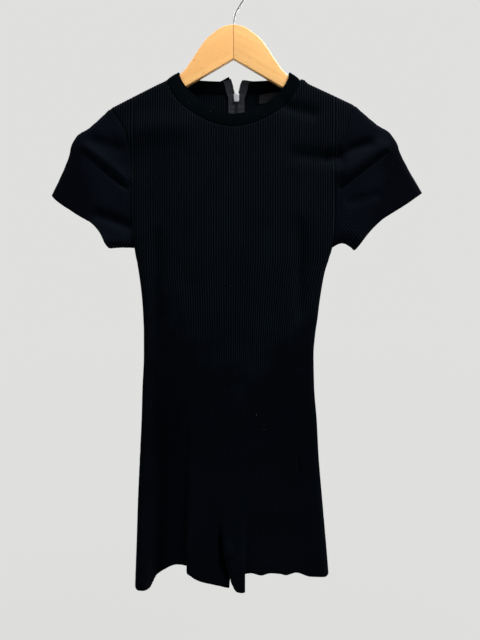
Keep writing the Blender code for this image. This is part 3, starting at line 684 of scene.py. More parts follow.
def settle(mesh: Mesh, hard_above: float | None = None, weld: float = 0.0) -> Mesh:
    """Turns a mesh's faces outward.

    Args:
        mesh: The mesh, changed in place.
        hard_above: The angle in degrees above which an edge is kept hard, if any is.
        weld: How near points are merged, if above 0.

    Returns:
        The same mesh.
    """
    tidy = bmesh.new()
    tidy.from_mesh(mesh)
    if weld:
        bmesh.ops.remove_doubles(tidy, verts=tidy.verts, dist=weld)
    bmesh.ops.recalc_face_normals(tidy, faces=tidy.faces)
    for edge in tidy.edges if hard_above else ():
        edge.smooth = len(edge.link_faces) == 2 and edge.calc_face_angle() < math.radians(hard_above)
    tidy.to_mesh(mesh)
    tidy.free()
    return mesh


def points_of(mesh: Mesh) -> Array:
    """A mesh's points.

    Args:
        mesh: The mesh.

    Returns:
        A row for each point.
    """
    points = np.zeros(3 * len(mesh.vertices))
    mesh.vertices.foreach_get("co", points)
    return points.reshape(-1, 3)


def set_cloth_uv(mesh: Mesh, texture: Array, by_corner: bool = False) -> Mesh:
    """Gives a mesh its cloth coordinates, one pair a point, or one a face corner.

    Args:
        mesh: The mesh, changed in place.
        texture: Ribs across and distance along them.
        by_corner: Whether there is a pair for each face corner.

    Returns:
        The same mesh.
    """
    if not by_corner:
        corners = np.zeros(len(mesh.loops), int)
        mesh.loops.foreach_get("vertex_index", corners)
        texture = texture[corners]
    layer = mesh.uv_layers.new(name="cloth")
    layer.data.foreach_set("uv", texture.astype(np.float32).ravel())
    return mesh


class Shell:
    """A thin closed wall of ribbed cloth on a lattice."""

    def __init__(self, lattice: Lattice, normals: Array, knit: Knit) -> None:
        """Works out the outer and inner faces.

        Args:
            lattice: The base points.
            normals: Their outward directions.
            knit: The cloth.
        """
        self.lattice, self.knit, self.normals = lattice, knit, normals
        away = smooth_step(lattice.seam / (knit.flat_by_seam * knit.groove_width))
        ridge = (0.5 - 0.5 * np.cos(2.0 * np.pi * lattice.ribs)) ** knit.crest * away
        sunk = knit.groove * np.exp(-lattice.seam / knit.groove_width)
        rise = (knit.height * ridge - sunk)[..., None]
        self.outer = lattice.points + normals * rise
        self.inner = lattice.points - normals * (knit.wall - knit.inside * rise)

    def mesh(self, name: str) -> Mesh:
        """The wall as one closed mesh with its cloth coordinates.

        Args:
            name: The mesh's name.

        Returns:
            The mesh.
        """
        lattice = self.lattice
        _, first, place = np.unique(lattice.keys(), axis=0, return_index=True, return_inverse=True)
        place = place.reshape(-1)
        count = len(first)
        coordinates = grouped(lattice.ribs.reshape(-1), lattice.run.reshape(-1))
        polygons, texture = [], []
        for corners in lattice.corners():
            kept = [k for k in range(4) if place[corners[k]] != place[corners[k - 1]]]
            if len(kept) < 3 or len({place[corners[k]] for k in kept}) < len(kept):
                continue
            polygons.append([int(place[corners[k]]) for k in kept])
            texture.append(coordinates[corners[kept]])
        directed = {(a, b) for face in polygons for a, b in zip(face, face[1:] + face[:1])}
        border = [(a, b) for a, b in directed if (b, a) not in directed]
        grids = (self.outer, self.inner, self.normals)
        outer, inner, normals = (grid.reshape(-1, 3)[first] for grid in grids)
        rows, columns = lattice.ribs.shape
        on_hem = np.zeros(count, bool)
        on_hem[place[(rows - 1) * columns:]] = True
        bulge = np.zeros((count, 3))
        for a, b in border:
            outward = np.cross(outer[b] - outer[a], normals[a])
            bulge[a] += outward
            bulge[b] += outward
        middles = sorted({a for a, _ in border})
        middle_of = {a: 2 * count + k for k, a in enumerate(middles)}
        rim = (outer[middles] + inner[middles]) / 2.0
        rim += unit(bulge[middles]) * self.knit.hem_bulge * on_hem[middles][:, None]
        faces = polygons + [[a + count for a in reversed(face)] for face in polygons]
        uv = texture + [part[::-1] for part in texture]
        for a, b in border:
            sides = [coordinates[first[a]], coordinates[first[b]]]
            faces.append([b, a, middle_of[a], middle_of[b]])
            faces.append([middle_of[b], middle_of[a], a + count, b + count])
            uv += [np.array([sides[1], sides[0], sides[0], sides[1]])] * 2
        mesh = mesh_of(name, np.concatenate([outer, inner, rim]), faces)
        set_cloth_uv(mesh, np.concatenate(uv), by_corner=True)
        sharp = {(min(a, b) + k, max(a, b) + k) for a, b in border for k in (0, count)
                 if not (on_hem[a] and on_hem[b])}
        edges = np.zeros(2 * len(mesh.edges), int)
        mesh.edges.foreach_get("vertices", edges)
        hard = [(min(a, b), max(a, b)) in sharp for a, b in edges.reshape(-1, 2).tolist()]
        mesh.edges.foreach_set("use_edge_sharp", hard)
        return mesh


@dataclass
class PanelCutter:
    """Cuts a body panel's lattice: columns follow the ribs, rows run across them."""

    form: GarmentForm
    knit: Knit
    bust_ribs: int = 41
    most_ribs: int = 66
    gusset_ribs: int = 15
    row_step: float = 0.005
    path_steps: int = 480
    edge_steps: int = 400
    first_rows: tuple[float, ...] = (0.0, 0.002, 0.006, 0.012, 0.020, 0.030, 0.042)
    first_even: int = 3

    def cut(self, layer: Layer, side: Side) -> Lattice:
        """The lattice of one panel.

        Args:
            layer: Front or back.
            side: Left or right.

        Returns:
            Rows from the neck and shoulder to the hem.
        """
        samples = self.knit.samples
        counted = np.arange(-self.gusset_ribs * samples, self.most_ribs * samples + 1) / samples
        low = [self.section(layer, side, height, counted) for height in self.heights(layer)]
        points = np.concatenate([self.above(layer, side, low[0], counted), np.stack(low)])
        across = travelled(points, 1)
        seam = np.minimum(from_end(across, 1), travelled(points, 0))
        z = points[..., 2]
        sewn = z < self.form.crotch_z if layer is Layer.FRONT else z <= ZIP_OPENING[-1].z
        seam = np.where(sewn, np.minimum(seam, across), seam)
        ribs = np.broadcast_to(counted, z.shape) * 1.0
        return Lattice(points, ribs, -z, seam, faces_inward(points, layer.value))

    def heights(self, layer: Layer) -> list[Callable[[Array], Array]]:
        """The height of each row below the underarm, as functions of x.

        Args:
            layer: Front or back.

        Returns:
            A function for each row.
        """
        top, crotch = self.form.underarm_z, self.form.crotch_z
        steps = round((top - crotch) / self.row_step)
        rows = [lambda x, z=top + (crotch - top) * k / steps: np.full_like(x, z) for k in range(steps + 1)]
        legs = round((crotch - self.form.hem_z) / self.row_step)
        hem = self.form.hems[layer]
        rows += [lambda x, f=k / legs: crotch + f * (hem(x) - crotch) for k in range(1, legs + 1)]
        return rows

    def section(self, layer: Layer, side: Side, height: Callable[[Array], Array], counted: Array) -> Array:
        """One row below the underarm, with its ribs evenly along the cloth.

        Args:
            layer: Front or back.
            side: Left or right.
            height: The row's height at each place.
            counted: Each column's rib count.

        Returns:
            A point a column.
        """
        form, sign = self.form, side.value
        middle_z = height(np.asarray(CENTRE_LINE[-1].x))
        inner = float(form.centre_x(layer, side, middle_z))
        outer = float(form.side_x(side, height(form.side_x(side, np.asarray(form.hem_z)))))
        zero = float(form.rib_line(layer, side, middle_z))
        share = 0.5 - 0.5 * np.cos(np.pi * np.arange(self.path_steps + 1) / self.path_steps)
        x = inner + (outer - inner) * share
        path = form.point(layer, x, height(x), inner, outer)
        plain = form.point(layer, x, height(x), inner, outer, forks=False)
        level = np.array([1.0, 1.0, 0.0])
        lengths, even = travelled(path[None] * level, 1)[0], travelled(plain[None] * level, 1)[0]
        start = float(np.interp(zero * sign, x * sign, even)) - max(0.0, (inner - zero) * sign)
        each = max(self.bust_ribs / (even[-1] - start), 1.0 / self.knit.pitch)
        ribs = (even - start) * each
        turn = int(np.argmax(np.abs(x - inner) >= form.fork_round))
        ribs[:turn] = ribs[turn] - (lengths[turn] - lengths[:turn]) * each
        return read_path(counted, ribs, path)

    def above(self, layer: Layer, side: Side, bust: Array, counted: Array) -> Array:
        """The rows from the top edge down to the underarm, with upright ribs.

        Args:
            layer: Front or back.
            side: Left or right.
            bust: The row at the underarm.
            counted: Each column's rib count.

        Returns:
            Rows by columns of points.
        """
        form, sign = self.form, side.value
        low, corner = form.underarm_z, form.shoulder[side]
        edge_z = corner.z + (low - corner.z) * np.linspace(0.0, 1.0, self.edge_steps)
        edge_top = form.neck_line_z(layer, form.side_x(side, edge_z))
        edge_share = (edge_top - edge_z) / (edge_top - low)
        beyond_bust = np.maximum(counted - self.bust_ribs, 0.0)
        reach = bust[:, 0] * sign + beyond_bust * self.knit.pitch
        evenly = round((corner.z - low) / self.row_step)
        rows = []
        for share in sorted({*self.first_rows, *(k / evenly for k in range(self.first_even, evenly))}):
            x = np.minimum(reach, abs(corner.x)) * sign
            z = form.neck_line_z(layer, x)
            z = z + (low - z) * share
            limit_z = np.interp(share, edge_share, edge_z)
            limit_x = float(form.side_x(side, np.asarray(limit_z)))
            beyond = x * sign >= limit_x * sign
            x, z = np.where(beyond, limit_x, x), np.where(beyond, limit_z, z)
            inside = form.centre_x(layer, side, z)
            x = np.maximum(x * sign, inside * sign) * sign
            rows.append(form.point(layer, x, z, inside, limit_x))
        return np.stack(rows)


@dataclass
class SleeveCutter:
    """Cuts a sleeve's lattice: columns follow the ribs from the armhole to the hem."""

    form: GarmentForm
    knit: Knit
    most_ribs: int = 52
    rows: int = 60
    path_steps: int = 320
    crowding: float = 1.5
    depth: dict[Layer, float] = per_layer(0.0180, 0.0140)
    bow: dict[Layer, float] = per_layer(0.0090, 0.0020)
    top_round: float = 0.015
    low_round: float = 0.016
    blend: float = 0.14
    tuck: float = 0.0014
    tuck_under: float = 0.0008
    rib_slope: dict[Side, float] = per_side(math.radians(57.0), math.radians(54.0))
    fold_share: float = 0.45

    def cut(self, side: Side) -> Lattice:
        """The lattice of one sleeve: the front half, then the back half, round the fold at the top.

        Args:
            side: Left or right.

        Returns:
            Rows from the tuck under the armhole to the hem.
        """
        front, back = (self.half(layer, side) for layer in Layer)
        points = np.concatenate([front, back[:, :0:-1]], axis=1)
        counted = np.arange(front.shape[1]) / self.knit.samples
        ribs = self.first_rib(side)[:, None] + np.concatenate([counted, counted[:0:-1]])
        along = travelled(points, 0) - self.tuck
        low_edge, low_back = (np.minimum(from_end(travelled(half, 1), 1), 1.0) for half in (front, back))
        seam = np.minimum(np.maximum(along, 0.0), np.concatenate([low_edge, low_back[:, :0:-1]], axis=1))
        return Lattice(points, ribs, along, seam, faces_inward(front, Layer.FRONT.value), joined=True)

    def shares(self) -> Array:
        """How far down the sleeve each ring lies."""
        return np.linspace(0.0, 1.0, self.rows + 1)

    def half(self, layer: Layer, side: Side) -> Array:
        """One layer of the sleeve, from its top fold to its underarm fold.

        Args:
            layer: Front or back.
            side: Left or right.

        Returns:
            Rows by columns of points.
        """
        share = np.linspace(0.0, 1.0, self.path_steps + 1) ** self.crowding
        counted = np.arange(self.most_ribs * self.knit.samples + 1) * self.knit.pitch / self.knit.samples
        rows = []
        for s in self.shares():
            path, plain = self.ring(layer, side, float(s), share)
            lengths = np.hypot(np.diff(self.off_rib(side, plain)), self.fold_share * np.diff(plain[:, 1]))
            rows.append(read_path(counted, np.concatenate([[0.0], np.cumsum(lengths)]), path))
        under = rows[0] + unit(rows[0] - rows[1]) * self.tuck - [0.0, layer.value * self.tuck_under, 0.0]
        return np.stack([under, *rows])

    def off_rib(self, side: Side, points: Array) -> Array:
        """How far points lie below the rib that starts at the shoulder point.

        Args:
            side: Left or right.
            points: Places on the sleeve.

        Returns:
            A distance for each.
        """
        shoulder, slope = self.form.shoulder[side], self.rib_slope[side]
        across = side.value * (points[..., 0] - shoulder.x) * math.sin(slope)
        return -across - (points[..., 2] - shoulder.z) * math.cos(slope)

    def first_rib(self, side: Side) -> Array:
        """The rib count at the top fold, for each row from the tucked one to the hem.

        Args:
            side: Left or right.

        Returns:
            A count for each row.
        """
        tops = np.array([self.ring(Layer.FRONT, side, float(s), np.zeros(1))[1][0] for s in self.shares()])
        count = self.off_rib(side, tops) / self.knit.pitch
        return np.concatenate([count[:1], count])

    def ring(self, layer: Layer, side: Side, s: float, share: Array) -> tuple[Array, Array]:
        """One ring's points across a layer, with and without the listed creases.

        Args:
            layer: Front or back.
            side: Left or right.
            s: How far down the sleeve it is, 0 to 1.
            share: How far round the layer each point is, 0 to 1.

        Returns:
            Both rows of points.
        """
        form, corners = self.form, SLEEVE_CUTS[side]
        shoulder, low = form.shoulder[side], form.underarm_z
        seam_z = shoulder.z + (low - shoulder.z) * share
        seam_x = form.side_x(side, seam_z)
        seam = form.point(layer, seam_x, seam_z, 0.0, seam_x)
        start = np.array([shoulder.x, shoulder.z])
        pit = np.array([float(form.side_x(side, np.asarray(low))), low])
        outer, inner = np.array(corners.outer), np.array(corners.inner)
        along = (outer - start) / np.linalg.norm(outer - start)
        up = np.array([-along[1], along[0]]) * side.value
        top = start + (outer - start) * s + up * corners.lift * float(SLEEVE_LIFT(np.asarray(s)))
        foot = pit + (inner - pit) * s + np.array([0.0, corners.arch * math.sin(math.pi * s)])
        even = share + (0.5 - 0.5 * np.cos(np.pi * share) - share) * s
        point = top + (foot - top) * even[:, None]
        straight = start + (pit - start) * share[:, None]
        point = point + (grouped(seam_x, seam_z) - straight) * (1.0 - s) ** 2
        point = point + up * (self.bow[layer] * s * s * np.sin(np.pi * even))[:, None]
        arched = corners.hem_arch * s**3 * np.sin(np.pi * even**corners.hem_skew)
        point = point - along * arched[:, None]
        plain = form.arm_depth + (self.depth[layer] - form.arm_depth) * s
        top_round = form.arm_round + (self.top_round - form.arm_round) * s
        closing = cap(np.linalg.norm(point - top, axis=1), top_round)
        pit_round = form.armpit_round + (self.low_round - form.armpit_round) * s
        closing = closing * cap(np.linalg.norm(point - foot, axis=1), pit_round)
        joined = 1.0 - float(smooth_step(np.asarray(s / self.blend)))
        shapes = []
        for out in ((plain + form.creased(layer, point[:, 0], point[:, 1])) * closing, plain * closing):
            out = out + (np.abs(seam[:, 1]) - out) * joined
            shapes.append(grouped(point[:, 0], layer.value * out, point[:, 1]))
        return shapes[0], shapes[1]


@dataclass
class NeckbandCutter:
    """The doubled neckband: ribs across it, a rounded free edge and a sunk seam below."""

    form: GarmentForm
    wall: float = 0.0022
    top_x: dict[Side, float] = per_side(0.0842, 0.0866)
    top_power: dict[Side, float] = per_side(1.6, 1.7)
    top_z: float = -0.1430
    top_drop: dict[Layer, float] = per_layer(0.0692, 0.0090)
    middle_depth: dict[Layer, float] = per_layer(0.0160, 0.0108)
    crown: float = 0.0007
    pitch: float = 0.0036
    rib_height: float = 0.0003
    inside_ribs: float = 0.6
    samples: int = 5
    across: int = 14
    round_steps: int = 6
    overlap: float = 0.0008
    seam_depth: float = 0.0009
    seam_wide: float = 0.0012
    line_below: float = 0.0048
    line_depth: float = 0.0007
    line_wide: float = 0.0006
    tip_rise: dict[Side, float] = per_side(0.0070, 0.0022)
    tip_wide: float = 0.011
    tip_lean: float = 0.0045
    quarter_steps: int = 300

    def edges(self, layer: Layer, side: Side) -> tuple[Array, Array]:
        """The seam and the free edge of a quarter of the band, from the centre to the shoulder.

        Args:
            layer: Front or back.
            side: Left or right.

        Returns:
            Both lines of points.
        """
        form, power = self.form, self.form.neck_power[layer]
        turn = np.linspace(0.0, math.pi / 2, self.quarter_steps)
        share = np.sin(turn) ** (2.0 / power)
        inner = float(form.centre_x(layer, side, np.asarray(form.neck_z - form.neck_drop[layer])))
        x = inner + (side.value * form.neck_x - inner) * share
        low = form.point(layer, x, form.neck_line_z(layer, x), inner, form.shoulder[side].x)
        inner = float(form.centre_x(layer, side, np.asarray(self.top_z - self.top_drop[layer])))
        power, top_x = (self.top_power[side] if layer is Layer.FRONT else power), self.top_x[side]
        x = inner + (side.value * top_x - inner) * np.sin(turn) ** (2.0 / power)
        part = np.clip(np.abs(x / top_x), 0.0, 1.0)
        z = self.top_z - self.top_drop[layer] * (1.0 - part**power) ** (1.0 / power)
        out = form.arm_depth + (self.middle_depth[layer] - form.arm_depth) * (1.0 - part**2)
        out = out * cap(self.top_z + form.ridge_slope * (top_x - np.abs(x)) - z, form.arm_round)
        if layer is Layer.BACK:
            tip = smooth_step(1.0 - np.abs(x - inner) / self.tip_wide)
            x, z = x - side.value * self.tip_lean * tip, z + self.tip_rise[side] * tip
        return low, grouped(x, layer.value * out, z)

    def loop(self) -> tuple[Array, Array]:
        """The seam and the free edge from one side of the zip round the front to the other.

        Returns:
            Both lines of points.
        """
        route = ((Layer.BACK, Side.LEFT, 1), (Layer.FRONT, Side.LEFT, -1),
                 (Layer.FRONT, Side.RIGHT, 1), (Layer.BACK, Side.RIGHT, -1))
        quarters = [[edge[::way] for edge in self.edges(layer, side)] for layer, side, way in route]
        lows, highs = zip(*quarters)
        return tuple(np.concatenate([edge[0], *(part[1:] for part in edge[1:])]) for edge in (lows, highs))

    def section(self, low: Array, high: Array, out: Array, ridge: Array) -> tuple[Array, Array]:
        """The band's rows: up the outside, over the free edge and down the inside.

        Args:
            low: The seam's points.
            high: The free edge's points.
            out: The outward direction at each.
            ridge: How far the ribs stand out at each.

        Returns:
            Rows by columns of points, and each point's distance up the band.
        """
        up, tall, edge = unit(high - low), np.linalg.norm(high - low, axis=1), self.wall / 2.0
        rows, run = [], []
        for t in np.arange(self.across + 1) / self.across:
            height = (tall - edge + self.overlap) * t - self.overlap
            sunk = self.seam_depth * np.exp(-(height + self.overlap) / self.seam_wide)
            sunk = sunk + self.line_depth * bell((tall - height - self.line_below) / self.line_wide)
            rise = self.crown * math.sin(math.pi * t) - sunk
            rows.append(low + up * height[:, None] + out * rise[:, None] + out * ridge)
            run.append(height)
        for angle in math.pi * np.arange(1, self.round_steps) / self.round_steps:
            lift = out * (edge * (math.cos(angle) - 1.0)) + up * (edge * math.sin(angle))
            ribbed = (out * math.cos(angle) + up * math.sin(angle)) * ridge
            rows.append(low + up * (tall - edge)[:, None] + lift + ribbed)
            run.append(tall - edge + edge * angle)
        for t in 1.0 - np.arange(self.across + 1) / self.across:
            height = (tall - edge) * t
            rows.append(low + up * height[:, None] - out * self.wall - out * ridge * self.inside_ribs)
            run.append(tall * 2.0 - height)
        return np.stack(rows), np.stack(run)

    def mesh(self, name: str) -> Mesh:
        """The band as one closed mesh.

        Args:
            name: The mesh's name.

        Returns:
            The mesh.
        """
        low, high = self.loop()
        middle = (low + high) / 2.0
        length = travelled(middle[None], 1)[0]
        columns = round(length[-1] / self.pitch) * self.samples + 1
        where = np.linspace(0.0, length[-1], columns)
        low, high, middle = (read_path(where, length, edge) for edge in (low, high, middle))
        counted = np.arange(columns) / self.samples
        out = unit(np.cross(unit(high - low), unit(np.gradient(middle, axis=0))))
        out = out * (1.0 if out[columns // 2, 1] < 0 else -1.0)
        ridge = self.rib_height * (0.5 - 0.5 * np.cos(2.0 * np.pi * counted))[:, None]
        grid, run = self.section(low, high, out, ridge)
        index = np.arange(run.size).reshape(run.shape)
        below = np.roll(index, -1, axis=0)
        faces = grouped(index[:, :-1], index[:, 1:], below[:, 1:], below[:, :-1]).reshape(-1, 4)
        ends = [index[:, 0].tolist(), index[::-1, -1].tolist()]
        mesh = settle(mesh_of(name, grid.reshape(-1, 3), [*faces.tolist(), *ends]))
        return set_cloth_uv(mesh, grouped(counted, run).reshape(-1, 2))


def circles(side: Array, other: Array, around: int) -> Array:
    """A circle of points for each pair of directions that span it."""
    angle = np.arange(around) * 2.0 * math.pi / around
    return side[:, None] * np.cos(angle)[:, None] + other[:, None] * np.sin(angle)[:, None]


def rounded_ring(x: float, half_y: float, half_z: float, radius: float, steps: int) -> Array:
    """A rounded rectangle round the X axis.

    Args:
        x: Its place along X.
        half_y: Half its size along Y.
        half_z: Half its size along Z.
        radius: Its corners' radius.
        steps: How finely they are rounded.

    Returns:
        Its points.
    """
    ring = []
    for corner, (sy, sz) in enumerate(((1, 1), (-1, 1), (-1, -1), (1, -1))):
        for k in range(steps + 1):
            angle = math.pi / 2 * (corner + k / steps)
            ring.append((x, sy * (half_y - radius) + radius * math.cos(angle),
                         sz * (half_z - radius) + radius * math.sin(angle)))
    return np.array(ring)


class Solid:
    """A mesh put together from simple solids in mesh code."""

    hard_above: float = 40.0

    def __init__(self) -> None:
        self.points: list[Sequence[float]] = []
        self.faces: list[list[int]] = []

    def loft(self, rings: Array, closed: bool = False) -> None:
        """Joins equal rings of points, with flat ends unless the last meets the first.

        Args:
            rings: Rings by points by three.
            closed: Whether the last meets the first.
        """
        count, around = rings.shape[:2]
        index = np.arange(count * around).reshape(count, around) + len(self.points)
        ahead = np.roll(index, -1, axis=0) if closed else index[1:]
        here = index if closed else index[:-1]
        faces = grouped(here, np.roll(here, -1, 1), np.roll(ahead, -1, 1), ahead).reshape(-1, 4)
        self.points.extend(rings.reshape(-1, 3).tolist())
        self.faces.extend(faces.tolist())
        if not closed:
            self.faces.extend([index[0, ::-1].tolist(), index[-1].tolist()])

    def bar(self, middle: Sequence[float], size: Sequence[float], rounding: float, steps: int = 2) -> None:
        """A block with rounded edges, lofted along X.

        Args:
            middle: Its centre.
            size: Its three sizes.
            rounding: The radius of its edges.
            steps: How finely they are rounded.
        """
        half = np.array(size) / 2.0
        angles = np.linspace(0.0, math.pi / 2, steps + 1)
        rings = []
        for end, turn in ((-1.0, angles), (1.0, angles[::-1])):
            for angle in turn:
                inset = rounding * (1.0 - math.sin(angle))
                x = end * (half[0] - rounding * (1.0 - math.cos(angle)))
                radius = max(rounding - inset, 1e-6)
                rings.append(rounded_ring(x, half[1] - inset, half[2] - inset, radius, steps))
        self.loft(np.stack(rings) + np.array(middle))

    def mesh(self, name: str) -> Mesh:
        """The finished mesh, with hard edges kept hard."""
        return settle(mesh_of(name, np.array(self.points), self.faces), self.hard_above)


@dataclass(frozen=True)
class ClothLook:
    """A ribbed or woven cloth's finish."""

    colour: Colour
    # The groove colour is painted shade in the rib grooves, shown where the crests' painted highlight fades;
    # crest_low sets where that highlight begins.
    groove_colour: Colour
    roughness: float = 0.88
    sheen: float = 0.006
    sheen_roughness: float = 0.45
    sheen_tint: Colour = (0.55, 0.53, 0.62)
    crest_low: float = 0.45
    stitch_depth: float = 0.5
    stitch_long: float = 0.0014
    wales: float = 2.0
    # between_loops: the share of colour kept in the painted shade between the stitch loops.
    between_loops: float = 0.55
    dull_patches: float = 0.75
    lint: float = 1.0
    lint_colour: Colour = (0.045, 0.045, 0.045)
    # Painted shade on the lower cloth: the share of each colour kept there, how far the crests' painted
    # highlight flattens there, and the crest value it flattens to.
    slack: Colour = (0.30, 0.33, 0.43)
    slack_flatter: float = 0.6
    slack_crest: float = 0.42
    specular: float = 0.018


@dataclass(frozen=True)
class SolidLook:
    """A smooth finish."""

    colour: Colour
    roughness: float
    metallic: float = 0.0
    wear: float = 0.08
    bump: float = 0.05
    specular: float = 0.5
    smudged: float = 0.82
    dark_smudge: Pair = (0.25, 0.6)
    dull_smudge: Pair = (0.3, 0.7)


@dataclass(frozen=True)
class WoodLook:
    """Varnished maple: its bands, fibres, flecks, the joint's own darker line with painted shade in its
    groove, and the coat.
    """

    dark_band: Colour = (0.90, 0.475, 0.155)
    light_band: Colour = (0.98, 0.560, 0.20)
    fibre: Colour = (0.70, 0.33, 0.10)
    fibre_most: float = 0.25
    fleck: Colour = (0.50, 0.22, 0.07)
    fleck_most: float = 0.55
    # Darker brown near the middle: painted shade in the groove between the halves, with the joint's own
    # darker line.
    glue: Colour = (0.42, 0.18, 0.05)
    glue_most: float = 0.75
    glue_line: Pair = (0.0004, 0.0011)
    roughness: Pair = (0.34, 0.46)
    bump: float = 0.12
    coat: float = 0.18
    coat_roughness: float = 0.22


@dataclass(frozen=True)
class KnitGrain:
    """The knit's small grain: its loops, clouds, fuzz and flecks of lint. A noise is scale and detail."""

    slant: float = 0.45
    cloud: Pair = (22.0, 3.0)
    fuzz: Pair = (1400.0, 2.0)
    fleck: Pair = (330.0, 0.0)
    stitch_height: float = 0.7
    fuzz_height: float = 0.5
    tone: Pair = (0.3, 0.7)
    lint: Pair = (0.912, 0.925)


@dataclass(frozen=True)
class WearGrain:
    """Wear's small grain: round smudges, and scratches drawn out along one way."""

    smudge_scale: float = 160.0
    smudge_detail: float = 4.0
    drawn: Triple = (1.0, 1.0, 0.08)
    scratches: Pair = (2600.0, 2.0)


@dataclass(frozen=True)
class MapleGrain:
    """Maple's grain: how far it is drawn out along the arm, and its noises with where each shows."""

    drawn: float = 0.07
    fleck_drawn: float = 0.35
    boards_apart: float = 0.35
    bands: Triple = (55.0, 3.0, 0.6)
    band: Pair = (0.35, 0.65)
    fibres: Pair = (900.0, 2.0)
    flecks: Pair = (420.0, 1.0)
    fleck: Pair = (0.68, 0.76)


@dataclass(frozen=True)
class Slackening:
    """Where painted shade falls on the lower cloth: below a bowed line, sooner on the sleeves, less at the
    back.
    """

    middle_x: float = 0.015
    bow: float = 6.9
    bow_most: float = 0.09
    wander: float = 0.16
    sleeve_x: Pair = (0.17, 0.26)
    sleeve_drop: float = -0.30
    taut_z: float = -0.468
    slack_z: float = -0.562
    front_y: Pair = (0.000, 0.008)
    behind: float = 0.55


# The knit's last shares darken and blue its colour as painted shade on the lower cloth.
KNIT_LOOK = ClothLook((0.0088, 0.0160, 0.0248), (0.0003, 0.0005, 0.0010), crest_low=0.66,
                      slack=(0.240, 0.265, 0.345))
SLEEVE_LOOK = replace(KNIT_LOOK, colour=(0.0088, 0.0143, 0.0273))
BAND_LOOK = ClothLook((0.0028, 0.0062, 0.0086), (0.0003, 0.0006, 0.0008), sheen=0.001, specular=0.006)
TAPE_LOOK = ClothLook((0.060, 0.065, 0.081), (0.020, 0.021, 0.024), stitch_long=0.0009, wales=1.0, lint=0.0)
LABEL_LOOK = ClothLook((0.036, 0.037, 0.041), (0.018, 0.018, 0.020), stitch_long=0.0007, wales=1.0, lint=0.0)
THREAD = SolidLook((0.0022, 0.0026, 0.0036), 0.8, specular=0.03)
TEETH = SolidLook((0.010, 0.010, 0.012), 0.6, specular=0.12)
SILVER = SolidLook((0.46, 0.47, 0.50), 0.34, 1.0)
STEEL = SolidLook((0.36, 0.358, 0.35), 0.20, 1.0, wear=0.05, bump=0.02)


class Nodes:
    """A short way to lay out shader nodes."""

    def __init__(self, tree: bpy.types.NodeTree) -> None:
        self.tree = tree

    def feed(self, node: bpy.types.Node, inputs: dict[str | int, object]) -> bpy.types.Node:
        """Sets a node's inputs to values, or links them from sockets, by name or number.

        Args:
            node: The node.
            inputs: Values or sockets, by input name or number.

        Returns:
            The node.
        """
        for name, value in inputs.items():
            if isinstance(value, Socket):
                self.tree.links.new(value, node.inputs[name])
            else:
                node.inputs[name].default_value = value
        return node

    def add(self, kind: str, inputs: dict[str | int, object] | None = None,
            **settings: object) -> bpy.types.Node:
        """Adds a node with its own properties and feeds its inputs.

        Args:
            kind: Its type, after ShaderNode.
            inputs: Values or sockets, by input name or number.
            **settings: Its own properties.

        Returns:
            The node.
        """
        node = self.tree.nodes.new(f"ShaderNode{kind}")
        for name, value in settings.items():
            setattr(node, name, value)
        return self.feed(node, inputs or {})

    def math(self, operation: str, *values: object) -> Socket:
        """The result of a Math node."""
        return self.add("Math", dict(enumerate(values)), operation=operation).outputs[0]

    def times(self, first: object, second: object) -> Socket:
        """A product."""
        return self.math("MULTIPLY", first, second)

    def between(self, value: object, low: float, high: float, out_low: float = 0.0,
                out_high: float = 1.0) -> Socket:
        """A value carried smoothly from one range to another."""
        ranged = {"Value": value, "From Min": low, "From Max": high, "To Min": out_low, "To Max": out_high}
        return self.add("MapRange", ranged, interpolation_type="SMOOTHSTEP").outputs["Result"]

    def mix(self, factor: object, first: object, second: object) -> Socket:
        """A mix of two colours."""
        a, b = (value if isinstance(value, Socket) else (*value, 1.0) for value in (first, second))
        return self.add("Mix", {0: factor, 6: a, 7: b}, data_type="RGBA").outputs[2]

    def noise(self, place: Socket, scale: object, detail: float, distortion: float = 0.0) -> Socket:
        """A cloudy value from 0 to 1."""
        inputs = {"Vector": place, "Scale": scale, "Detail": detail, "Distortion": distortion}
        return self.add("TexNoise", inputs).outputs["Fac"]

    def bump(self, height: Socket, strength: float, distance: float = 0.0002) -> Socket:
        """A normal that follows a height."""
        return self.add("Bump", {"Height": height, "Strength": strength, "Distance": distance}).outputs[0]

    def place(self) -> Socket:
        """Where a point is in its object's own space."""
        return self.add("TexCoord").outputs["Object"]

    def split(self, vector: Socket) -> Sequence[Socket]:
        """A vector's three parts."""
        return tuple(self.add("SeparateXYZ", {0: vector}).outputs)


FLOAT = "NodeSocketFloat"
Build = Callable[[Nodes, bpy.types.NodeOutputs], dict[str, Socket]]


def effect(name: str, takes: dict[str, float], build: Build) -> bpy.types.NodeTree:
    """A node group, made once and shared by every material that uses it.

    Args:
        name: The group's name.
        takes: Its inputs with their defaults.
        build: Lays out the nodes and returns the socket for each output.

    Returns:
        The group.
    """
    if name in bpy.data.node_groups:
        return bpy.data.node_groups[name]
    tree = bpy.data.node_groups.new(name, "ShaderNodeTree")
    for label, default in takes.items():
        tree.interface.new_socket(label, in_out="INPUT", socket_type=FLOAT).default_value = default
    results = build(Nodes(tree), tree.nodes.new("NodeGroupInput").outputs)
    for label in results:
        tree.interface.new_socket(label, in_out="OUTPUT", socket_type=FLOAT)
    outside = tree.nodes.new("NodeGroupOutput")
    for label, socket in results.items():
        tree.links.new(socket, outside.inputs[label])
    return tree


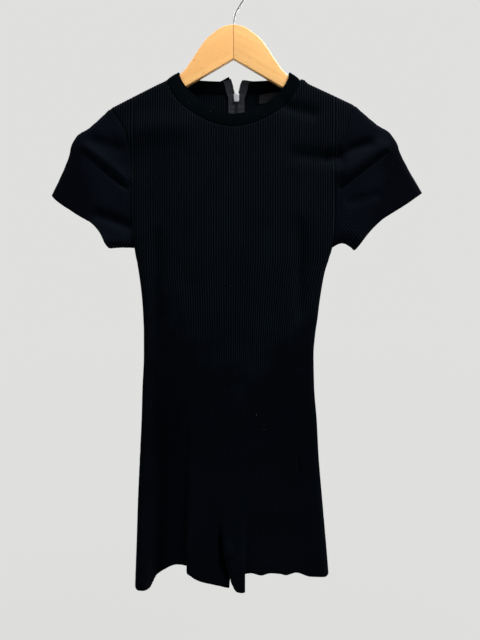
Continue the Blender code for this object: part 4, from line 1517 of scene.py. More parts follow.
def knit_effect(nodes: Nodes, given: bpy.types.NodeOutputs) -> dict[str, Socket]:
    """Ribs, the small loops on them, tone, lint and the share of painted shade on the lower cloth, from the
    cloth coordinates.

    Args:
        nodes: Lays out the nodes.
        given: The group's inputs.

    Returns:
        The group's outputs.
    """
    grain = KnitGrain()
    ribs, run, _ = nodes.split(nodes.add("UVMap", uv_map="cloth").outputs["UV"])
    turn = nodes.times(ribs, 2.0 * math.pi)
    crest = nodes.math("MULTIPLY_ADD", nodes.math("COSINE", turn), -0.5, 0.5)
    wale_turn = nodes.times(turn, nodes.times(given["Wales"], 0.5))
    wale = nodes.math("ABSOLUTE", nodes.math("SINE", wale_turn))
    slant = nodes.math("MULTIPLY_ADD", wale, grain.slant, nodes.math("DIVIDE", run, given["Loop"]))
    loop = nodes.math("ABSOLUTE", nodes.math("SINE", nodes.times(slant, math.pi)))
    stitch = nodes.times(loop, wale)
    place = nodes.place()
    cloud, fuzz, fleck = (nodes.noise(place, *kind) for kind in (grain.cloud, grain.fuzz, grain.fleck))
    height = nodes.math("MULTIPLY_ADD", stitch, grain.stitch_height, nodes.times(fuzz, grain.fuzz_height))
    return {"Crest": crest, "Loop": stitch, "Height": height, "Tone": nodes.between(cloud, *grain.tone),
            "Slack": slackness(nodes, place, cloud), "Lint": nodes.between(fleck, *grain.lint)}


def slackness(nodes: Nodes, place: Socket, cloud: Socket) -> Socket:
    """How much painted shade the cloth gets at a place: 0 above the line, 1 below it.

    Args:
        nodes: Lays out the nodes.
        place: The place in the cloth's own space.
        cloud: A value that bends the line.

    Returns:
        The share of painted shade.
    """
    falloff = Slackening()
    x, y, z = nodes.split(place)
    past = nodes.between(nodes.math("ABSOLUTE", x), *falloff.sleeve_x, 0.0, falloff.sleeve_drop)
    aside = nodes.math("SUBTRACT", x, falloff.middle_x)
    rise = nodes.math("MINIMUM", nodes.times(nodes.times(aside, aside), falloff.bow), falloff.bow_most)
    # The painted shade's bowed line, bent by the cloud; past makes it start sooner on the sleeves.
    hung = nodes.math("SUBTRACT", nodes.math("MULTIPLY_ADD", cloud, falloff.wander, z), rise)
    slack = nodes.between(nodes.math("ADD", hung, past), falloff.taut_z, falloff.slack_z)
    return nodes.times(slack, nodes.between(y, *falloff.front_y, 1.0, falloff.behind))


def wear_effect(nodes: Nodes, given: bpy.types.NodeOutputs) -> dict[str, Socket]:
    """Fine scratches and smudges.

    Args:
        nodes: Lays out the nodes.
        given: The group's inputs.

    Returns:
        The group's outputs.
    """
    grain, place = WearGrain(), nodes.place()
    drawn = nodes.add("Mapping", {"Vector": place, "Scale": grain.drawn}).outputs[0]
    return {"Smudge": nodes.noise(place, given["Scale"], grain.smudge_detail),
            "Scratch": nodes.noise(drawn, *grain.scratches)}


def grain_effect(nodes: Nodes, given: bpy.types.NodeOutputs) -> dict[str, Socket]:
    """Maple grain that runs down each arm, with its flecks.

    Args:
        nodes: Lays out the nodes.
        given: The group's inputs.

    Returns:
        The group's outputs.
    """
    grain = MapleGrain()
    x, y, z = nodes.split(nodes.place())
    reach = nodes.math("ABSOLUTE", x)
    cosine, sine = nodes.math("COSINE", given["Slope"]), nodes.math("SINE", given["Slope"])
    along = nodes.math("SUBTRACT", nodes.times(reach, cosine), nodes.times(z, sine))
    over = nodes.math("ADD", nodes.times(reach, sine), nodes.times(z, cosine))
    board = nodes.math("MULTIPLY_ADD", nodes.math("SIGN", x), grain.boards_apart, y)
    long, short = (nodes.add("CombineXYZ", {0: nodes.times(along, drawn), 1: over, 2: board}).outputs[0]
                   for drawn in (grain.drawn, grain.fleck_drawn))
    return {"Band": nodes.between(nodes.noise(long, *grain.bands), *grain.band),
            "Fibre": nodes.noise(long, *grain.fibres),
            "Fleck": nodes.between(nodes.noise(short, *grain.flecks), *grain.fleck)}


class Finishes:
    """Every material of the scene."""

    def __init__(self) -> None:
        self.knit = self.cloth("black rib knit", KNIT_LOOK)
        self.sleeve = self.cloth("black rib knit of the sleeves", SLEEVE_LOOK)
        self.band = self.cloth("black neckband knit", BAND_LOOK)
        self.tape = self.cloth("charcoal zip tape", TAPE_LOOK)
        self.label = self.cloth("dark neck label", LABEL_LOOK)
        self.thread = self.solid("black thread", THREAD)
        self.teeth = self.solid("black zip chain", TEETH)
        self.silver = self.solid("silver zip metal", SILVER)
        self.steel = self.solid("bright steel wire", STEEL)
        self.wood = self.maple(WoodLook())

    @staticmethod
    def start(name: str, tree: bpy.types.NodeTree, **values: float) -> tuple:
        """A new material with its Principled shader and the outputs of a shared effect.

        Args:
            name: The material's name.
            tree: The effect.
            **values: The effect's inputs.

        Returns:
            The material, its nodes, the shader and the effect's outputs.
        """
        material = bpy.data.materials.new(name)
        material.use_nodes = True
        nodes = Nodes(material.node_tree)
        group = nodes.add("Group", values, node_tree=tree)
        return material, nodes, material.node_tree.nodes["Principled BSDF"], group.outputs

    def cloth(self, name: str, look: ClothLook) -> bpy.types.Material:
        """Ribbed or woven cloth: painted shade in the grooves and between the loops, painted highlight on
        the crests, small loops, a little lint and painted shade on the lower cloth.

        Args:
            name: The material's name.
            look: Its finish.

        Returns:
            The material.
        """
        tree = effect("knit", {"Loop": ClothLook.stitch_long, "Wales": ClothLook.wales}, knit_effect)
        material, nodes, shader, knit = self.start(name, tree, Loop=look.stitch_long, Wales=look.wales)
        # Painted light of the ribs: crests painted lighter as a highlight, grooves and the gaps between
        # loops painted darker as shade, with random tone patches.
        crest = nodes.between(knit["Crest"], look.crest_low, 1.0)
        # Painted shade on the lower cloth flattens the crests' painted highlight and darkens and blues the
        # colour.
        eased = nodes.times(knit["Slack"], look.slack_flatter)
        crest = nodes.math("MULTIPLY_ADD", nodes.math("SUBTRACT", look.slack_crest, crest), eased, crest)
        lit = nodes.times(crest, nodes.between(knit["Loop"], 0.0, 0.9, look.between_loops, 1.0))
        lit = nodes.times(lit, nodes.between(knit["Tone"], 0.0, 1.0, look.dull_patches, 1.0))
        shaded_colour = tuple(part * share for part, share in zip(look.colour, look.slack))
        colour = nodes.mix(lit, look.groove_colour, nodes.mix(knit["Slack"], look.colour, shaded_colour))
        nodes.feed(shader, {
            "Base Color": nodes.mix(nodes.times(knit["Lint"], look.lint), colour, look.lint_colour),
            "Normal": nodes.bump(knit["Height"], look.stitch_depth, 0.0004),
            "Roughness": look.roughness, "Specular IOR Level": look.specular, "Sheen Weight": look.sheen,
            "Sheen Roughness": look.sheen_roughness, "Sheen Tint": (*look.sheen_tint, 1.0),
        })
        return material

    def solid(self, name: str, look: SolidLook) -> bpy.types.Material:
        """Metal, plastic or thread with a little wear.

        Args:
            name: The material's name.
            look: Its finish.

        Returns:
            The material.
        """
        tree = effect("wear", {"Scale": WearGrain.smudge_scale}, wear_effect)
        material, nodes, shader, wear = self.start(name, tree)
        low, high = look.roughness - look.wear / 2, look.roughness + look.wear
        darker = tuple(look.smudged * part for part in look.colour)
        nodes.feed(shader, {
            "Base Color": nodes.mix(nodes.between(wear["Smudge"], *look.dark_smudge), darker, look.colour),
            "Roughness": nodes.between(wear["Smudge"], *look.dull_smudge, low, high),
            "Normal": nodes.bump(wear["Scratch"], look.bump),
            "Metallic": look.metallic, "Specular IOR Level": look.specular,
        })
        return material

    def maple(self, look: WoodLook) -> bpy.types.Material:
        """Honey maple under a satin varnish.

        Args:
            look: Its finish.

        Returns:
            The material.
        """
        tree = effect("maple grain", {"Slope": 0.5}, grain_effect)
        material, nodes, shader, grain = self.start("honey maple", tree)
        colour = nodes.mix(grain["Band"], look.dark_band, look.light_band)
        colour = nodes.mix(nodes.between(grain["Fibre"], 0.3, 0.8, 0.0, look.fibre_most), colour, look.fibre)
        colour = nodes.mix(nodes.times(grain["Fleck"], look.fleck_most), colour, look.fleck)
        # Darker brown near the middle: painted shade in the joint's groove, with the joint's own darker
        # line.
        middle = nodes.math("ABSOLUTE", nodes.split(nodes.place())[0])
        glue = nodes.between(middle, *look.glue_line, look.glue_most, 0.0)
        nodes.feed(shader, {
            "Base Color": nodes.mix(glue, colour, look.glue),
            "Roughness": nodes.between(grain["Fibre"], 0.2, 0.8, *look.roughness),
            "Normal": nodes.bump(grain["Fibre"], look.bump),
            "Coat Weight": look.coat, "Coat Roughness": look.coat_roughness,
        })
        return material


@dataclass
class StitchRow:
    """A row of separate stitches, each a small bar sunk into the cloth."""

    long: float = 0.0019
    pitch: float = 0.0027
    thick: float = 0.00032
    sink: float = 0.00008
    lifts: tuple[float, ...] = (-0.6, 0.5, 0.5, -0.6)
    flatness: float = 0.8
    sides: int = 6

    def add(self, solid: Solid, path: Array, normals: Array) -> None:
        """Adds the row's stitches to a mesh.

        Args:
            solid: The mesh to add to.
            path: The line that the stitches follow.
            normals: The cloth's outward direction along it.
        """
        lengths = travelled(path[None], 1)[0]
        lift = self.thick * np.array(self.lifts)[:, None] - self.sink
        for k in range(int(lengths[-1] / self.pitch)):
            where = np.linspace(k * self.pitch, k * self.pitch + self.long, len(self.lifts))
            out = unit(read_path(where, lengths, normals))
            line = read_path(where, lengths, path) + out * lift
            side = unit(np.cross(unit(np.gradient(line, axis=0)), out))
            solid.loft(line[:, None] + circles(side, out * self.flatness, self.sides) * self.thick)


@dataclass
class HemStitches:
    """Rows of stitches round a hem, at their heights above it."""

    heights: tuple[float, ...] = (0.0145, 0.0190)
    nearest: float = 1e-5

    def mesh(self, name: str, shell: Shell) -> Mesh:
        """The stitches of one piece of cloth.

        Args:
            name: The mesh's name.
            shell: The cloth.

        Returns:
            The mesh.
        """
        solid = Solid()
        up = from_end(travelled(shell.lattice.points, 0), 0)[::-1]
        for height in self.heights:
            line, outward = (
                np.array([read_path(height, up[:, k], grid[::-1, k]) for k in range(up.shape[1])])
                for grid in (shell.outer, shell.normals)
            )
            step = np.linalg.norm(np.diff(line, axis=0), axis=1)
            kept = np.concatenate([[True], step > self.nearest])
            StitchRow().add(solid, line[kept], unit(outward)[kept])
        return solid.mesh(name)


@dataclass
class Tab:
    """A flat pull tab with an eye cut through it and a shallow panel in both faces."""

    long: float = 0.0280
    wide: float = 0.0068
    thick: float = 0.0010
    corner: float = 0.0016
    eye_wide: float = 0.0042
    eye_tall: float = 0.0052
    eye_corner: float = 0.0012
    bar: float = 0.00055
    panel_inset: float = 0.0012
    panel_below_eye: float = 0.0022
    panel_above_end: float = 0.0014
    panel_corner: float = 0.0010
    panel_steps: tuple[Pair, ...] = ((0.0, -0.0001), (0.00008, 0.00014), (0.0003, 0.0002))
    softening: float = 0.3
    half_soft: Pair = (0.3, 0.7)
    corner_steps: int = 6

    def outline(self, half: float, top: float, bottom: float, radius: float) -> Array:
        """A rounded rectangle across X and Z."""
        ring = rounded_ring(0.0, half, (top - bottom) / 2, radius, self.corner_steps)
        return grouped(ring[:, 1], ring[:, 2] + (top + bottom) / 2)

    @staticmethod
    def ring(outline: Array, inset: float, y: float) -> Array:
        """An outline drawn in by inset, at a depth.

        Args:
            outline: Points across X and Z.
            inset: How far it is drawn in.
            y: The depth.

        Returns:
            The ring's points.
        """
        middle = outline.mean(0)
        away = outline - middle
        moved = middle + away * (1.0 - inset / np.abs(away).max(0))
        return grouped(moved[:, 0], y, moved[:, 1])

    def mesh(self, name: str, at: Array) -> Mesh:
        """The tab, hung from the axis at a point.

        Args:
            name: The mesh's name.
            at: The middle of its axis.

        Returns:
            The mesh.
        """
        solid = Solid()
        eye_end = -self.bar - self.eye_tall
        edge = self.outline(self.wide / 2, self.bar, -self.long, self.corner)
        eye = self.outline(self.eye_wide / 2, -self.bar, eye_end, self.eye_corner)
        panel = self.outline(self.wide / 2 - self.panel_inset, eye_end - self.panel_below_eye,
                             self.panel_above_end - self.long, self.panel_corner)
        soft = self.thick * self.softening
        flat = self.thick / 2 - soft
        inset, up = self.half_soft
        steps = ((0.0, flat), (soft * inset, flat + soft * up), (soft, flat + soft))
        rings = [self.ring(edge, inset, -y) for inset, y in steps[::-1]]
        rings += [self.ring(edge, inset, y) for inset, y in steps]
        rings += [self.ring(eye, -inset, y) for inset, y in steps[::-1]]
        rings += [self.ring(eye, -inset, -y) for inset, y in steps]
        solid.loft(np.stack(rings) + at, closed=True)
        for way in (-1.0, 1.0):
            raised = [self.ring(panel, inset, way * (self.thick / 2 + up)) for inset, up in self.panel_steps]
            solid.loft(np.stack(raised) + at)
        return solid.mesh(name)


@dataclass
class Slider:
    """The zip's slider: two plates, the block between them, flanges and the pull's bridge."""

    top: float = -0.1720
    tall: float = 0.0130
    wide: float = 0.0092
    plate_thick: float = 0.0013
    plate_gap: float = 0.0030
    plate_steps: int = 15
    plate_up: tuple[float, ...] = (0.0, 0.12, 0.55, 0.85, 1.0)
    plate_half: tuple[float, ...] = (0.60, 0.74, 0.86, 1.0, 0.80)
    plate_round: float = 0.0006
    block_size: Triple = (0.0026, 0.0038, 0.0042)
    block_below: float = 0.0026
    block_round: float = 0.0006
    flange_size: Triple = (0.0008, 0.0011, 0.0062)
    flange_up: float = 0.0042
    flange_out: float = 0.40
    flange_round: float = 0.00025
    axis_out: float = 0.0014
    axis_up: float = 0.62
    bridge_sunk: float = 0.0004
    bridge_out: float = 0.0032
    bridge_half: float = 0.0030
    bridge_wire: float = 0.0006
    bridge_steps: int = 17
    bridge_around: int = 10
    bridge_turned: Triple = (0.13, 0.0, 1.0)

    @property
    def bottom(self) -> float:
        """The height of its lower end."""
        return self.top - self.tall

    @property
    def face(self) -> float:
        """How far its outer faces lie from its middle."""
        return self.plate_gap / 2 + self.plate_thick

    def axis(self, x: float, middle: float) -> Array:
        """The middle of the axis that the pull turns on."""
        return np.array([x, middle + self.face + self.axis_out, self.bottom + self.tall * self.axis_up])

    def plate(self, solid: Solid, x: float, y: float) -> None:
        """One plate: broad shoulders above, narrower below, with soft edges.

        Args:
            solid: The mesh to add to.
            x: The zip's line.
            y: How far out the plate lies.
        """
        rows = np.linspace(0.0, 1.0, self.plate_steps)
        halves = np.interp(rows, self.plate_up, self.plate_half) * self.wide / 2
        rings = []
        for t, half in zip(rows, halves):
            edge = self.plate_thick / 2 * (1.0 if 0.0 < t < 1.0 else 0.5)
            ring = rounded_ring(0.0, edge, half, min(edge * 0.9, self.plate_round), 3)
            rings.append(grouped(x + ring[:, 2], y + ring[:, 1], self.bottom + self.tall * t))
        solid.loft(np.stack(rings))

    def mesh(self, name: str, x: float, middle: float) -> Mesh:
        """The slider round a point of the zip's middle.

        Args:
            name: The mesh's name.
            x: The zip's line.
            middle: How far out its middle lies.

        Returns:
            The mesh.
        """
        solid = Solid()
        for way in (-1.0, 1.0):
            self.plate(solid, x, middle + way * (self.plate_gap + self.plate_thick) / 2)
            for side in (-1.0, 1.0):
                y = middle + side * (self.plate_gap / 2 - self.flange_round)
                at = (x + way * self.wide * self.flange_out, y, self.bottom + self.flange_up)
                solid.bar(at, self.flange_size, self.flange_round)
        solid.bar((x, middle, self.top - self.block_below), self.block_size, self.block_round, 3)
        turn = np.linspace(0.0, math.pi, self.bridge_steps)
        axis = self.axis(x, middle)
        y = middle + self.face - self.bridge_sunk + self.bridge_out * np.sin(turn)
        arch = grouped(x, y, axis[2] + self.bridge_half * np.cos(turn))
        tangent = unit(np.gradient(arch, axis=0))
        side = unit(np.cross(tangent, self.bridge_turned))
        rings = circles(side, np.cross(tangent, side), self.bridge_around)
        solid.loft(arch[:, None] + rings * self.bridge_wire)
        return solid.mesh(name)


@dataclass
class Zip:
    """The zip down the centre back: tapes, chain and stop, with its slider and pull."""

    form: GarmentForm
    slider: Slider = field(default_factory=Slider)
    tape_top: float = -0.1525
    tape_bottom: float = -0.6062
    tape_rows: int = 260
    tape_columns: int = 13
    tape_tip: dict[Side, float] = per_side(0.0040, 0.0020)
    tip_tall: float = 0.012
    tape_wide: float = 0.0120
    tape_thick: float = 0.0007
    tape_inset: float = 0.0026
    tape_parting: float = 0.0004
    parting_above: float = 0.002
    weave: float = 0.0016
    pucker: float = 0.000924
    second_pucker: float = 0.7
    pucker_lean: float = 3.0
    pucker_longs: Triple = (0.0087, 0.0133, 0.0190)
    cord: float = 0.00035
    cord_from_edge: float = 0.0006
    cord_wide: float = 0.0005
    wall: float = 0.0009
    chain_top: float = -0.1795
    bottom: float = -0.600
    tooth_pitch: float = 0.0016
    tooth_aside: float = 0.00075
    tooth_size: Triple = (0.0030, 0.0021, 0.000704)
    tooth_round: float = 0.00028
    open_teeth: int = 14
    open_below: float = 0.0035
    open_spread: float = 1.05
    open_aside: float = 0.0002
    open_size: Triple = (0.0026, 0.0021, 0.0007)
    stop_size: Triple = (0.0048, 0.0028, 0.0032)
    stop_below: float = 0.0019
    stop_round: float = 0.0006

    def middle_y(self, z: Array) -> Array:
        """How far out the middle of the tapes lies."""
        z = np.asarray(z, float)
        return self.form.back_y(np.full_like(z, self.form.zip_x), z) - self.tape_inset - self.wall / 2

    def middle(self, aside: float, z: float) -> Triple:
        """A point of the tapes' middle, beside the zip's line."""
        return self.form.zip_x + aside, float(self.middle_y(z)), z

    def tape(self, name: str, side: Side) -> Mesh:
        """One woven tape, with its cord edge beside the chain.

        Args:
            name: The mesh's name.
            side: Left or right.

        Returns:
            The mesh.
        """
        z = np.linspace(self.tape_top, self.tape_bottom, self.tape_rows)[:, None]
        across = np.linspace(0.0, 1.0, self.tape_columns)
        closed = np.where(z < self.chain_top + self.parting_above, self.tape_parting, 0.0)
        reach = np.maximum(self.form.coil_opening(z), closed) + self.tape_wide * across
        first, second, third = (z * 2.0 * np.pi / long for long in self.pucker_longs)
        waves = np.sin(first) + self.second_pucker * np.sin(second + 1.0)
        waves = waves + np.sin(third + self.pucker_lean * across)
        y = self.middle_y(z) + self.pucker * waves * across * (1.0 - across)
        cord = self.cord * bell((across * self.tape_wide - self.cord_from_edge) / self.cord_wide)
        rise = smooth_step(1.0 + (z - self.tape_top) / self.tip_tall)
        tip = self.tape_tip[side] * rise * (1.0 - across)
        front = grouped(self.form.zip_x + side.value * reach, y + self.tape_thick / 2 + cord, z + tip)
        back = front - OUT_Y * (self.tape_thick + 2 * cord)[None, :, None]
        solid = Solid()
        solid.loft(np.concatenate([front, back[:, ::-1]], axis=1))
        mesh = solid.mesh(name)
        points = points_of(mesh)
        aside = np.abs(points[:, 0] - self.form.zip_x) / self.weave
        return set_cloth_uv(mesh, grouped(aside, -points[:, 2]))

    def chain(self, name: str) -> Mesh:
        """The closed teeth, one from each side in turn, and the open ones above the slider.

        Args:
            name: The mesh's name.

        Returns:
            The mesh.
        """
        solid = Solid()
        for k in range(int((self.chain_top - self.bottom) / self.tooth_pitch * 2)):
            aside = self.tooth_aside if k % 2 else -self.tooth_aside
            z = self.chain_top - (k + 0.5) * self.tooth_pitch / 2
            solid.bar(self.middle(aside, z), self.tooth_size, self.tooth_round)
        for k in range(self.open_teeth):
            z = self.slider.top - self.open_below + k * self.tooth_pitch * self.open_spread
            reach = float(self.form.coil_opening(z)) + self.open_aside
            for aside in (-reach, reach):
                solid.bar(self.middle(aside, z), self.open_size, self.tooth_round)
        return solid.mesh(name)

    def stop(self, name: str) -> Mesh:
        """The bottom stop.

        Args:
            name: The mesh's name.

        Returns:
            The mesh.
        """
        solid = Solid()
        solid.bar(self.middle(0.0, self.bottom - self.stop_below), self.stop_size, self.stop_round, 3)
        return solid.mesh(name)

    def slider_at(self) -> Pair:
        """Where the slider's middle lies across and out."""
        return self.middle(0.0, self.slider.top - self.slider.tall / 2)[:2]


@dataclass
class Label:
    """The bare label inside the back neck, sewn down along both ends."""

    form: GarmentForm
    x: Pair = (0.0400, 0.0740)
    z: Pair = (-0.1742, -0.1880)
    tilt: float = 0.0055
    arch: float = 0.0005
    bulge: float = 0.0006
    gap: float = 0.0022
    wall: float = 0.0007
    weave: float = 0.0008
    columns: int = 48
    rows: int = 20
    sewn: tuple[int, int] = (2, -3)

    def face(self, off: float) -> Array:
        """The label's surface at off from the side that lies on the cloth.

        Args:
            off: How far it lies from the side on the cloth.

        Returns:
            Rows by columns of points.
        """
        x = np.linspace(*self.x, self.columns + 1)
        z = np.linspace(*self.z, self.rows + 1)[:, None]
        share = (x - self.x[0]) / (self.x[1] - self.x[0])
        z = z + self.tilt * share + self.arch * np.sin(np.pi * share)
        y = self.form.back_y(x, z) - self.gap - off - self.bulge * np.sin(np.pi * share)
        return grouped(x, y, z)

    def mesh(self, name: str) -> Mesh:
        """The label as a closed thin plate.

        Args:
            name: The mesh's name.

        Returns:
            The mesh.
        """
        front, back = self.face(self.wall), self.face(0.0)
        count = front[..., 0].size
        index = np.arange(count).reshape(front.shape[:2])
        quads = grouped(index[:-1, :-1], index[1:, :-1], index[1:, 1:], index[:-1, 1:]).reshape(-1, 4)
        faces = [*quads.tolist(), *(quads[:, ::-1] + count).tolist()]
        edge = [*index[0, :], *index[1:, -1], *index[-1, -2::-1], *index[-2:0:-1, 0]]
        faces += [[a, b, b + count, a + count] for a, b in zip(edge, edge[1:] + edge[:1])]
        mesh = settle(mesh_of(name, np.concatenate([front.reshape(-1, 3), back.reshape(-1, 3)]), faces))
        points = points_of(mesh)
        return set_cloth_uv(mesh, grouped(points[:, 0] / self.weave, points[:, 2]))

    def stitches(self, name: str) -> Mesh:
        """The rows of stitches at its two ends.

        Args:
            name: The mesh's name.

        Returns:
            The mesh.
        """
        solid, face = Solid(), self.face(self.wall)
        for column in self.sewn:
            row = StitchRow(long=0.0012, pitch=0.0018, thick=0.0002)
            row.add(solid, face[:, column], np.tile(-OUT_Y, (self.rows + 1, 1)))
        return solid.mesh(name)


class OutlinePoint(NamedTuple):
    """A point of the wooden hanger's left half, and whether the edge runs smoothly through it."""

    x: float
    z: float
    smooth: bool = True


WOOD_OUTLINE = table(
    OutlinePoint,
    (0.0000, -0.0700, False), (-0.0158, -0.0736), (-0.0301, -0.0826), (-0.0426, -0.0933), (-0.0532, -0.1074),
    (-0.0639, -0.1240), (-0.0820, -0.1470), (-0.1020, -0.1600), (-0.1500, -0.1845), (-0.1865, -0.2050),
    (-0.2040, -0.2240), (-0.2120, -0.2360), (-0.2080, -0.2430), (-0.1960, -0.2370),
    (-0.0716, -0.1660, False), (0.0000, -0.1239, False),
)


@dataclass
class Hanger:
    """The flat wooden hanger and its wire hook."""

    thick: float = 0.012
    rounding: float = 0.0019
    rounding_steps: int = 4
    outline_steps: int = 14
    joint_round: float = 0.0004
    halves_gap: float = 0.00006
    under_slant: float = 0.0030
    under_band: float = 0.0045
    weld: float = 0.00001
    hard_above: float = 32.0
    wire: float = 0.0019
    bend: float = 0.0190
    start: float = math.radians(-31.0)
    end: float = math.radians(200.0)
    knee_round: float = 0.010
    top_z: float = -0.070
    stem_depth: float = 0.0185
    stem_steps: int = 12
    knee_steps: int = 14
    bend_steps: int = 64
    tip_steps: int = 6
    around: int = 20

    def board(self, name: str, side: Side) -> Mesh:
        """Half of the board, lying flat, with its edges rounded over.

        Args:
            name: The mesh's name.
            side: Left or right.

        Returns:
            The mesh.
        """
        curve = bpy.data.curves.new(name, "CURVE")
        curve.dimensions = "2D"
        curve.fill_mode = "BOTH"
        curve.resolution_u = self.outline_steps
        curve.extrude = self.thick / 2 - self.rounding
        curve.bevel_depth = self.rounding
        curve.bevel_resolution = self.rounding_steps
        curve.offset = -self.rounding
        spline = curve.splines.new("BEZIER")
        spline.use_cyclic_u = True
        spline.bezier_points.add(len(WOOD_OUTLINE) - 1)
        for slot, point in zip(spline.bezier_points, WOOD_OUTLINE):
            x = self.rounding - self.joint_round if point.x == 0.0 else point.x
            slot.co = (-side.value * x, point.z, 0.0)
            slot.handle_left_type = slot.handle_right_type = "AUTO" if point.smooth else "VECTOR"
        thing = bpy.data.objects.new(name, curve)
        bpy.context.scene.collection.objects.link(thing)
        bpy.context.view_layer.update()
        source = thing.evaluated_get(bpy.context.evaluated_depsgraph_get())
        mesh = bpy.data.meshes.new_from_object(source)
        bpy.data.objects.remove(thing)
        return mesh

    def half(self, name: str, side: Side) -> Mesh:
        """Half of the board, upright, cut at the joint and planed along its lower edge at the back.

        Args:
            name: The mesh's name.
            side: Left or right.

        Returns:
            The mesh.
        """
        mesh = self.board(name, side)
        x, up, out = points_of(mesh).T
        reach = np.minimum(-side.value * x, -self.halves_gap / 2)
        under = np.array([(point.x, point.z) for point in WOOD_OUTLINE[-3:]])
        above = up - np.interp(reach, under[:, 0], under[:, 1])
        back = np.clip(0.5 - out / self.thick, 0.0, 1.0)
        up = up + np.where(above < self.under_band, self.under_slant * back, 0.0)
        mesh.vertices.foreach_set("co", grouped(-side.value * reach, -out, up).ravel())
        settle(mesh, self.hard_above, self.weld)
        mesh.polygons.foreach_set("use_smooth", [True] * len(mesh.polygons))
        mesh.name = name
        return mesh

    def on_bend(self, angle: float) -> Array:
        """A point of the hook's bend."""
        centre = np.array([0.0, 0.0, self.wire - self.bend])
        return centre + self.bend * np.array([math.cos(angle), 0.0, math.sin(angle)])

    def hook(self, name: str) -> Mesh:
        """The wire: up from the wood, out to the right, and round to the left over the rail.

        Args:
            name: The mesh's name.

        Returns:
            The mesh.
        """
        start = self.on_bend(self.start)
        down = np.array([math.sin(self.start), 0.0, -math.cos(self.start)])
        knee = start + down * (start[0] / abs(down[0]))
        foot = np.array([0.0, 0.0, self.top_z - self.stem_depth])
        below, beyond = knee - np.array([0.0, 0.0, self.knee_round]), knee - down * self.knee_round
        route = [foot + (below - foot) * t for t in np.linspace(0.0, 1.0, self.stem_steps)[:-1]]
        route += [below * (1 - t) ** 2 + knee * 2 * t * (1 - t) + beyond * t * t
                  for t in np.linspace(0.0, 1.0, self.knee_steps)]
        route += [self.on_bend(angle) for angle in np.linspace(self.start, self.end, self.bend_steps)]
        path = np.array(route)
        tangent = unit(np.gradient(path, axis=0))
        side = np.tile(OUT_Y, (len(path), 1))
        other = np.cross(tangent, side)
        tip = np.linspace(0.0, 1.0, self.tip_steps + 1)[1:]
        last = path[-1] + tangent[-1] * tip[:, None] * self.wire
        radius = np.concatenate([np.full(len(path), self.wire), self.wire * np.sqrt(1.0 - tip**2) + 1e-5])
        rings = circles(*(np.concatenate([way, way[-1:].repeat(len(tip), 0)]) for way in (side, other)),
                        self.around)
        solid = Solid()
        solid.loft(np.concatenate([path, last])[:, None] + rings * radius[:, None, None])
        return solid.mesh(name)


class Romper:
    """Builds every piece of the garment and the hanger, and hands each to its body."""

    def __init__(self) -> None:
        self.form = GarmentForm()
        self.knit = Knit()
        self.finishes = Finishes()
        self.made: list[Thing] = []

    def place(self, mesh: Mesh, material: bpy.types.Material, slot: str, *nodes: str,
              body: str = "garment") -> Thing:
        """Makes an object of a mesh, with its finish, its body and the frame nodes it stands for.

        Args:
            mesh: The finished mesh.
            material: Its finish.
            slot: The record's material slot; not used.
            *nodes: The frame nodes that it replaces.
            body: The body that it rides on.

        Returns:
            The object.
        """
        thing = bpy.data.objects.new(mesh.name, mesh)
        mesh.materials.clear()
        mesh.materials.append(material)
        bpy.context.scene.collection.objects.link(thing)
        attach(thing, body)
        if nodes:
            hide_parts(*nodes)
        self.made.append(thing)
        log.info("%s: %d faces", thing.name, len(mesh.polygons))
        return thing

    def cloth(self) -> None:
        """Body panels and sleeves, with the stitching of their hems."""
        panels, sleeves = PanelCutter(self.form, self.knit), SleeveCutter(self.form, self.knit)
        lattices = {f"{layer.label}_{side.label}": panels.cut(layer, side)
                    for layer in Layer for side in Side}
        lattices |= {f"sleeve_{side.label}": sleeves.cut(side) for side in Side}
        normals = shared_normals(list(lattices.values()))
        for (name, lattice), outward in zip(lattices.items(), normals):
            shell = Shell(lattice, outward, self.knit)
            finish = self.finishes.sleeve if name.startswith("sleeve") else self.finishes.knit
            thing = self.place(shell.mesh(f"{name}_knit"), finish, "knit", name)
            stitches = HemStitches().mesh(f"{name}_hem_stitches", shell)
            rows = self.place(stitches, self.finishes.thread, "knit")
            kind, side = name.split("_")

    def neck(self) -> None:
        """The neckband and the label."""
        band = self.place(NeckbandCutter(self.form).mesh("neckband_knit"), self.finishes.band,
                          "neckband_knit", "neckband")
        label = Label(self.form)
        self.place(label.mesh("bare_label"), self.finishes.label, "label", "neck_label")
        self.place(label.stitches("label_stitches"), self.finishes.thread, "label")

    def zip(self) -> None:
        """The zip."""
        parts, finishes = Zip(self.form), self.finishes
        for side in Side:
            node = f"zip_tape_{side.label}"
            self.place(parts.tape(f"{node}_woven", side), finishes.tape, "zip_tape", node)
        self.place(parts.chain("zip_teeth"), finishes.teeth, "zip_chain", "zip_chain")
        self.place(parts.stop("zip_bottom_stop"), finishes.silver, "zip_metal", "zip_stop")
        slider, at = parts.slider, parts.slider_at()
        self.place(slider.mesh("zip_slider_body", *at), finishes.silver, "zip_metal", "zip_slider")
        pull = Tab().mesh("zip_pull_tab", slider.axis(*at))
        self.place(pull, finishes.silver, "zip_metal", "zip_pull", body="zip_pull")

    def hanger(self) -> None:
        """The wooden halves and the hook."""
        hanger = Hanger()
        for side in Side:
            node = f"hanger_{side.label}"
            self.place(hanger.half(f"{node}_maple", side), self.finishes.wood, "wood", node)
        self.place(hanger.hook("hook_wire"), self.finishes.steel, "hook_steel", "hanger_hook")


class Lamp(NamedTuple):
    """A soft square light: where it stands, how wide it is, its power and its colour."""

    name: str
    at: Triple
    size: float
    power: float
    colour: Colour


LAMPS = table(
    Lamp,
    ("ceiling", (1.26, -0.81, 1.75), 1.08, 120.0, (1.0, 0.99, 0.97)),
    ("window", (-1.62, -0.99, 1.66), 1.44, 36.0, (0.94, 0.97, 1.0)),
    ("behind", (0.4, 1.5, 0.8), 0.9, 24.0, (1.0, 0.99, 0.97)),
)


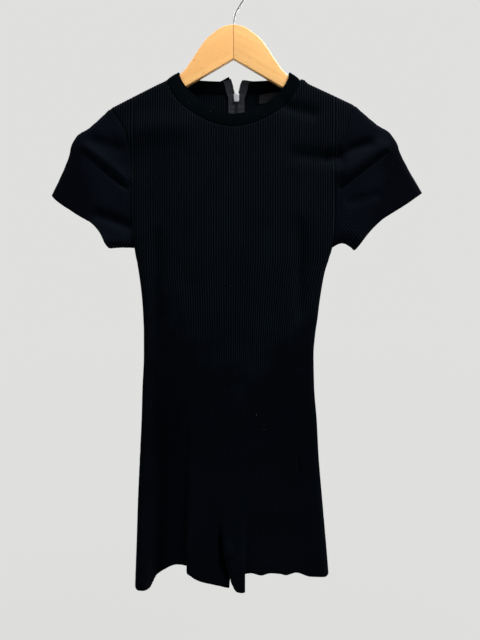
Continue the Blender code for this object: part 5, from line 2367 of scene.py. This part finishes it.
@dataclass
class Studio:
    """Camera, light and the pale surroundings."""

    lens: float = 28.3
    place: Triple = (0.010, -0.78, -0.526)
    clip: Pair = (0.01, 200.0)
    aim: Triple = (0.0, 0.0, -0.5)
    pale: Colour = (0.745, 0.745, 0.735)
    ambient: float = 0.12
    floor_z: float = -1.25
    floor_radius: float = 30.0
    floor_corners: int = 64
    floor_colour: Colour = (0.45, 0.45, 0.445)
    floor_roughness: float = 0.95
    glow_near: float = 1.2
    glow: Pair = (1.038, 0.955)
    glow_share: float = 0.96

    @staticmethod
    def link(name: str, data: bpy.types.ID) -> Thing:
        """An object of the scene.

        Args:
            name: Its name.
            data: What it shows.

        Returns:
            The object.
        """
        thing = bpy.data.objects.new(name, data)
        bpy.context.scene.collection.objects.link(thing)
        return thing

    def camera(self) -> None:
        """A level camera straight in front."""
        camera = bpy.data.cameras.new("camera")
        camera.lens = self.lens
        camera.dof.use_dof = False
        camera.clip_start, camera.clip_end = self.clip
        thing = self.link("camera", camera)
        thing.location = self.place
        thing.rotation_euler = (math.radians(90.0), 0.0, 0.0)
        bpy.context.scene.camera = thing

    def light(self, row: Lamp) -> None:
        """A lamp aimed at the garment's middle.

        Args:
            row: The lamp's row.
        """
        lamp = bpy.data.lights.new(row.name, "AREA")
        lamp.size, lamp.energy, lamp.color = row.size, row.power, row.colour
        thing = self.link(row.name, lamp)
        thing.location = row.at
        thing.rotation_euler = (Vector(self.aim) - Vector(row.at)).to_track_quat("-Z", "Y").to_euler()

    def surroundings(self) -> None:
        """A pale world that lights gently, and a floor of the same tone."""
        world = bpy.data.worlds.new("pale room")
        world.use_nodes = True
        nodes = Nodes(world.node_tree)
        path = nodes.add("LightPath").outputs
        seen = nodes.math("MAXIMUM", path["Is Camera Ray"], path["Is Glossy Ray"])
        nodes.feed(world.node_tree.nodes["Background"], {
            "Color": (*self.pale, 1.0), "Strength": nodes.between(seen, 0.0, 1.0, self.ambient, 1.0),
        })
        bpy.context.scene.world = world
        angle = np.arange(self.floor_corners) * 2.0 * math.pi / self.floor_corners
        ring = grouped(np.cos(angle) * self.floor_radius, np.sin(angle) * self.floor_radius, self.floor_z)
        mesh = mesh_of("floor", ring, [list(range(self.floor_corners))])
        mesh.materials.append(self.floor_finish())
        self.link("floor", mesh)

    def floor_finish(self) -> bpy.types.Material:
        """A matt floor that keeps the room's tone right up to the horizon.

        Returns:
            The material.
        """
        material = bpy.data.materials.new("pale floor")
        material.use_nodes = True
        nodes = Nodes(material.node_tree)
        matt = nodes.feed(material.node_tree.nodes["Principled BSDF"], {
            "Base Color": (*self.floor_colour, 1.0), "Roughness": self.floor_roughness,
        })
        away = nodes.add("VectorMath", {0: nodes.place()}, operation="LENGTH").outputs["Value"]
        near = nodes.between(nodes.math("DIVIDE", 1.0, away), 0.0, self.glow_near, *self.glow)
        glow = nodes.add("Emission", {"Color": (*self.pale, 1.0), "Strength": near})
        share = nodes.times(nodes.add("LightPath").outputs["Is Camera Ray"], self.glow_share)
        both = nodes.add("MixShader", {0: share, 1: matt.outputs[0], 2: glow.outputs[0]})
        nodes.feed(material.node_tree.nodes["Material Output"], {"Surface": both.outputs[0]})
        return material

    def build(self) -> None:
        """Sets everything up."""
        self.camera()
        self.surroundings()
        for lamp in LAMPS:
            self.light(lamp)
        bpy.context.scene.view_settings.view_transform = "Standard"


def main() -> None:
    """Builds the scene."""
    logging.basicConfig(level=logging.INFO, format="%(name)s: %(message)s")
    romper = Romper()
    romper.cloth()
    romper.neck()
    romper.zip()
    romper.hanger()
    Studio().build()
    log.info("%d pieces", len(romper.made))


if __name__ == "__main__":
    main()
